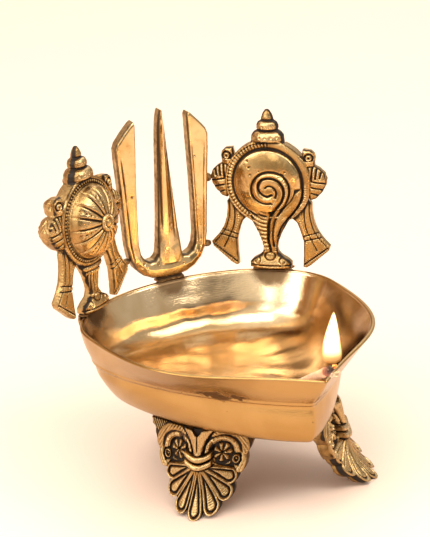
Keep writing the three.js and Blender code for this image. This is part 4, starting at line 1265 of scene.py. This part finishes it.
def bowl_brass():
    g = Graph("brass_bowl")
    cav, out, painted_reflection, depth = g.attr("cav"), g.attr("outside"), g.attr("painted_reflection"), g.attr("depth")
    large = g.noise(38, 3, 0.5, 0.5)
    mid = g.noise(190, 5, 0.6, 0.4)
    fine = g.noise(2600, 3, 0.6)
    pits = g.node("ShaderNodeTexVoronoi", Vector=g.co, Scale=330.0).outputs["Distance"]
    pit = g.math("MULTIPLY", g.ramp(pits, 0.085, 0.03), g.ramp(g.noise(60, 2), 0.56, 0.66))
    scratch = g.noise(900, 2, 0.5, 0.0, g.node("ShaderNodeMapping", Vector=g.co, Scale=(0.12, 0.9, 3.0), Rotation=(0.2, 0.1, 0.5)).outputs["Vector"])
    # painted light and shade: the outside is a darker, more saturated copy of the brass and the inside a lighter copy,
    # standing in for how brightly each is lit; the inside also darkens towards its floor
    base = g.mix(g.ramp(large, 0.36, 0.68), (0.475, 0.293, 0.108), (0.39, 0.226, 0.075))
    inner = g.mix(g.ramp(g.math("ADD", large, g.math("MULTIPLY", depth, 0.25)), 0.40, 0.85), (0.78, 0.57, 0.34), (0.60, 0.385, 0.18))
    base = g.mix(out, inner, base)
    smear = g.math("MULTIPLY", g.ramp(mid, 0.56, 0.74), g.math("MULTIPLY_ADD", out, 0.25, 0.12))
    base = g.mix(smear, base, DEEP)
    # painted shade: the bowl's cav attribute darkens round the emblem bases, along the crease and towards the bottom of
    # the drum, mixed with a random dark tone
    darkening = g.math("MULTIPLY", g.ramp(g.math("ADD", cav, g.math("MULTIPLY", g.math("SUBTRACT", mid, 0.5), 0.8)), 0.25, 0.8), 0.9, clamp=True)
    base = g.mix(darkening, base, BROWN)
    # painted reflection: a dark mark where the foot is reflected on the left front shoulder, which is also made rougher
    painted_reflection_mask = g.ramp(g.math("ADD", painted_reflection, g.math("MULTIPLY", g.math("SUBTRACT", g.noise(520, 5, 0.7), 0.5), 0.9)), 0.30, 0.62)
    base = g.mix(g.math("MULTIPLY", painted_reflection_mask, 0.9), base, (0.10, 0.045, 0.018))
    base = g.mix(g.math("MULTIPLY", pit, 0.9), base, SOOT)
    rough = g.math("ADD", g.ramp(mid, 0.3, 0.75, 0.05, 0.11), g.math("MULTIPLY", out, 0.16))
    rough = g.math("ADD", rough, g.math("MULTIPLY", g.math("MAXIMUM", darkening, painted_reflection_mask), 0.34))
    rough = g.math("ADD", rough, g.math("MULTIPLY", pit, 0.4), clamp=True)
    h = g.math("ADD", g.math("MULTIPLY", mid, 0.5), g.math("MULTIPLY", scratch, 0.25))
    nrm = g.bump(h, 0.00022, 0.7)
    nrm = g.bump(g.math("ADD", g.math("MULTIPLY", fine, 0.5), g.math("MULTIPLY", pit, -2.0)), 0.00007, 0.8, nrm)
    b = g.node("ShaderNodeBsdfPrincipled", Base__Color=base, Metallic=1.0, Roughness=rough, Normal=nrm)
    return g.surface(b.outputs[0])


def solder():
    g = Graph("braze_seam")
    mid, fine = g.noise(520, 5, 0.65, 0.4), g.noise(2600, 4, 0.7)
    base = g.mix(g.ramp(mid, 0.4, 0.66), (0.11, 0.06, 0.026), (0.34, 0.21, 0.09))
    nrm = g.bump(mid, 0.0005, 0.8)
    nrm = g.bump(fine, 0.00014, 0.8, nrm)
    b = g.node("ShaderNodeBsdfPrincipled", Base__Color=base, Metallic=0.75, Roughness=g.ramp(fine, 0.3, 0.7, 0.42, 0.72), Normal=nrm)
    return g.surface(b.outputs[0])


def cotton():
    g = Graph("cotton_wick")
    al = g.attr("along")
    mid, fine = g.noise(700, 5, 0.6, 0.3), g.noise(4200, 4, 0.7)
    wob = g.math("ADD", al, g.math("MULTIPLY", g.math("SUBTRACT", mid, 0.5), 0.05))
    base = g.mix(g.ramp(mid, 0.35, 0.7), (0.80, 0.66, 0.46), (0.62, 0.44, 0.27))
    oil = g.ramp(wob, 0.30, 0.80)
    base = g.mix(g.math("MULTIPLY", oil, 0.65), base, (0.78, 0.44, 0.27))
    char = g.ramp(wob, 0.905, 0.94)
    base = g.mix(char, base, g.mix(fine, (0.010, 0.008, 0.008), (0.05, 0.035, 0.03)))
    nrm = g.bump(mid, 0.0004, 0.8)
    nrm = g.bump(fine, 0.00012, 1.0, nrm)
    b = g.node("ShaderNodeBsdfPrincipled", Base__Color=base, Roughness=g.ramp(fine, 0.3, 0.7, 0.62, 0.92), Normal=nrm)
    b.inputs["Sheen Weight"].default_value = 0.3
    hot = g.math("MULTIPLY", g.ramp(wob, 0.86, 0.93), g.ramp(wob, 1.02, 0.95))
    g.t.links.new(g.mix(hot, (0, 0, 0), (0.55, 0.10, 0.02)), b.inputs["Emission Color"])
    b.inputs["Emission Strength"].default_value = 0.8
    return g.surface(b.outputs[0])


def ember():
    g = Graph("ember_glow")
    mid = g.noise(1500, 5, 0.7, 0.4)
    col = g.mix(g.ramp(mid, 0.42, 0.66), (1.0, 0.22, 0.02), (1.0, 0.55, 0.12))
    b = g.node("ShaderNodeBsdfPrincipled", Base__Color=(0.10, 0.03, 0.01, 1), Roughness=g.ramp(mid, 0.3, 0.7, 0.7, 0.95), Normal=g.bump(mid, 0.0003, 0.9),
               Emission__Color=col)
    g.t.links.new(g.ramp(mid, 0.34, 0.60, 0.25, 2.6), b.inputs["Emission Strength"])
    return g.surface(b.outputs[0])


def flame_mat(name, low, high, strength, cover_lo, cover_hi):
    g = Graph(name)
    rise = g.attr("rise")
    wob = g.math("ADD", rise, g.math("MULTIPLY", g.math("SUBTRACT", g.noise(120, 3), 0.5), 0.10))
    col = g.mix(g.ramp(wob, 0.05, 0.9), low, high)
    em = g.node("ShaderNodeEmission", Color=col, Strength=strength)
    clear = g.node("ShaderNodeBsdfTransparent")
    cover = g.ramp(wob, 0.03, 0.42, cover_lo, cover_hi)
    m = g.t.nodes.new("ShaderNodeMixShader")
    g.t.links.new(cover, m.inputs[0])
    g.t.links.new(clear.outputs[0], m.inputs[1])
    g.t.links.new(em.outputs[0], m.inputs[2])
    return g.surface(m.outputs[0])


def floor_mat():
    g = Graph("paper_sweep")
    mid = g.noise(9, 3)
    base = g.mix(mid, (0.90, 0.695, 0.57), (0.91, 0.71, 0.585))
    b = g.node("ShaderNodeBsdfPrincipled", Base__Color=base, Roughness=0.7, Normal=g.bump(g.noise(900, 3), 0.0001, 0.3))
    return g.surface(b.outputs[0])


def give(ob, mat):
    ob.data.materials.clear()
    ob.data.materials.append(mat)


# ------------------------------------------------------------------------- assemble
STEP = 0.23
POLISHED, CAST = brass("brass_cast_emblem", 0.22, 0.38, 1.0, 1.0, 0.10), brass("brass_cast_foot", 0.27, 0.42, 1.8, 1.1, foot=True)
NAMAM_MAT = brass("brass_filed", 0.26, 0.40, 0.75, 0.9, 0.12, 1.0)
BOWL_MAT, SEAM = bowl_brass(), solder()

bowl = build_bowl()
give(bowl, BOWL_MAT)
for nm in FEET:
    give(build_foot(nm, STEP), CAST)
give(build_emblem("chakra", chakra_front, STEP), POLISHED)
give(build_emblem("conch", conch_front, STEP), POLISHED)
give(build_namam(STEP), NAMAM_MAT)
PHI = {k: math.atan2(e[0], -e[1]) for k, e in EMBLEMS.items()}
for nm, phi, half, depth, bulge in (("chakra_rim_lug", PHI["chakra"], 8.4, 15.0, 3.0), ("conch_rim_lug", PHI["conch"], 8.4, 15.0, 3.0), ("namam_rim_lug", math.pi, 7.0, 11.0, 2.2)):
    give(build_lug(nm, phi, half, depth, bulge), CAST)
wick, coal = build_wick()
give(wick, cotton())
give(coal, ember())
give(build_flame("flame_outer", 19.8, 3.75, 0.0), flame_mat("flame_outer_glow", (1.0, 0.42, 0.10), (1.0, 0.62, 0.22), 2.2, 0.10, 0.50))
give(build_flame("flame_mid", 18.7, 3.4, 0.6), flame_mat("flame_mid_glow", (1.0, 0.66, 0.28), (1.0, 0.84, 0.50), 4.0, 0.04, 0.80))
give(build_flame("flame_core", 17.0, 3.0, 1.6), flame_mat("flame_core_glow", (1.0, 0.84, 0.52), (1.0, 0.95, 0.82), 7.0, 0.0, 0.96))
BLOBS = {"conch_wing_braze": ((21.4, 42.0, RIM_Z + 40.4), (1.9, 1.5, 1.9)), "conch_ribbon_braze": ((19.6, 41.6, RIM_Z + 11.4), (2.0, 1.4, 1.5)),
         "chakra_wing_braze": ((-21.4, 40.6, RIM_Z + 40.4), (1.6, 1.3, 1.7)), "chakra_ribbon_braze": ((-19.3, 40.2, RIM_Z + 11.4), (1.7, 1.3, 1.5))}
for seed, (nm, (c, r)) in enumerate(sorted(BLOBS.items())):
    give(build_blob(nm, c, r, 51 + 3 * seed), SEAM)
for nm, ob in NODES.items():
    if "braze" in nm and nm not in BLOBS:
        give(ob, SEAM)

# ------------------------------------------------------------------ floor and light
fl = bpy.data.meshes.new("floor")
pts, fs = [], []
for i, (y, z) in enumerate([(-3.0, 0.0), (2.2, 0.0)] + [(2.2 + 0.8 * math.sin(a), 0.8 - 0.8 * math.cos(a)) for a in np.linspace(0.1, math.pi / 2, 12)] + [(3.0, 4.0)]):
    pts += [(-4.0, y, z), (4.0, y, z)]
    if i:
        fs.append((2 * i - 2, 2 * i - 1, 2 * i + 1, 2 * i))
fl.from_pydata(pts, [], fs)
fl.polygons.foreach_set("use_smooth", [True] * len(fs))
floor = bpy.data.objects.new("floor", fl)
bpy.context.scene.collection.objects.link(floor)
floor.rotation_euler = (0, 0, math.radians(26.65))
floor.data.materials.append(floor_mat())


def area(name, loc, target, size, power, color=(1, 1, 1), size_y=None):
    li = bpy.data.lights.new(name, "AREA")
    li.energy, li.color, li.size = power, color, size
    if size_y:
        li.shape, li.size_y = "RECTANGLE", size_y
    ob = bpy.data.objects.new(name, li)
    bpy.context.scene.collection.objects.link(ob)
    ob.location = loc
    ob.rotation_euler = (Vector(target) - Vector(loc)).to_track_quat("-Z", "Y").to_euler()
    return ob


def rig(az, el, dist, **k):
    a, e = math.radians(az), math.radians(el)
    return (dist * math.cos(e) * math.sin(a), -dist * math.cos(e) * math.cos(a), dist * math.sin(e) + 0.08)


TGT = (0, 0, 0.07)
area("top_box", rig(-35, 66, 1.2), TGT, 0.8, 5.8, (1.0, 0.98, 0.94), 0.5)
area("left_box", rig(-88, 36, 1.1), TGT, 0.75, 4.0, (1.0, 0.97, 0.92), 0.6)
area("right_box", rig(40, 50, 1.2), TGT, 0.75, 6.7, (1.0, 0.98, 0.94), 0.55)
area("front_box", rig(-48, 26, 1.5), TGT, 0.35, 1.3, (1.0, 0.98, 0.94), 0.5)
area("back_glow", rig(158, 40, 1.4), TGT, 1.0, 4.0, (1.0, 0.97, 0.90), 0.5)
pl = bpy.data.lights.new("flame_light", "POINT")
pl.energy, pl.color, pl.shadow_soft_size = 0.07, (1.0, 0.55, 0.2), 0.004
po = bpy.data.objects.new("flame_light", pl)
bpy.context.scene.collection.objects.link(po)
po.location = mm([0, -98.2, 86])

world = bpy.data.worlds.new("room")
bpy.context.scene.world = world
world.use_nodes = True
wt = world.node_tree
bg = wt.nodes["Background"]
tc = wt.nodes.new("ShaderNodeTexCoord")
# the room: bright overhead and on the left, dim low on the right
def wn(kind, op, a, b):
    n = wt.nodes.new(kind)
    n.operation = op
    for k, v in enumerate((a, b)):
        if isinstance(v, bpy.types.NodeSocket):
            wt.links.new(v, n.inputs[k])
        else:
            n.inputs[k].default_value = v
    return n


def cap(direction, lo, hi, gain):
    """A soft round patch of sky about a direction."""
    d = wn("ShaderNodeVectorMath", "DOT_PRODUCT", tc.outputs["Generated"], Vector(direction).normalized()).outputs["Value"]
    d = wn("ShaderNodeMath", "ADD", d, wob).outputs[0]
    n = wt.nodes.new("ShaderNodeMapRange")
    n.interpolation_type = "SMOOTHSTEP"
    wt.links.new(d, n.inputs[0])
    for k, v in enumerate((lo, hi, 0.0, gain)):
        n.inputs[k + 1].default_value = v
    return n.outputs[0]


soft = wt.nodes.new("ShaderNodeTexNoise")
wt.links.new(tc.outputs["Generated"], soft.inputs["Vector"])
soft.inputs["Scale"].default_value, soft.inputs["Detail"].default_value = 2.3, 2.0
wob = wn("ShaderNodeMath", "MULTIPLY", wn("ShaderNodeMath", "SUBTRACT", soft.outputs["Fac"], 0.5).outputs[0], 0.35).outputs[0]
total = wn("ShaderNodeMath", "ADD", cap((-0.6, -0.2, 0.75), 0.50, 0.92, 0.62), 0.66).outputs[0]
total = wn("ShaderNodeMath", "ADD", total, cap((0.35, 0.5, 0.8), 0.72, 0.95, 0.65)).outputs[0]
total = wn("ShaderNodeMath", "ADD", total, cap((-0.8, 0.5, 0.2), 0.66, 0.93, 1.35)).outputs[0]
dark = wn("ShaderNodeMath", "SUBTRACT", 1.0, cap((-0.09, -0.95, 0.22), 0.925, 0.985, 0.70)).outputs[0]
total = wn("ShaderNodeMath", "MULTIPLY", total, dark).outputs[0]
wt.links.new(total, bg.inputs["Strength"])
bg.inputs["Color"].default_value = (1.0, 0.96, 0.88, 1)

sc = bpy.context.scene
sc.view_settings.view_transform = "Standard"

cam = bpy.data.cameras.new("camera")
cam.sensor_width, cam.lens, cam.clip_end = 36, 163.26, 20
cam.dof.use_dof = False
co = bpy.data.objects.new("camera", cam)
bpy.context.scene.collection.objects.link(co)
R, U, B = (0.88522, -0.46297, -0.04513), (0.19824, 0.28771, 0.93697), (-0.4208, -0.8385, 0.3465)
C = mm([-414.54, -829.81, 425.58])
from mathutils import Matrix
co.matrix_world = Matrix(((R[0], U[0], B[0], C[0]), (R[1], U[1], B[1], C[1]), (R[2], U[2], B[2], C[2]), (0, 0, 0, 1)))
sc.camera = co
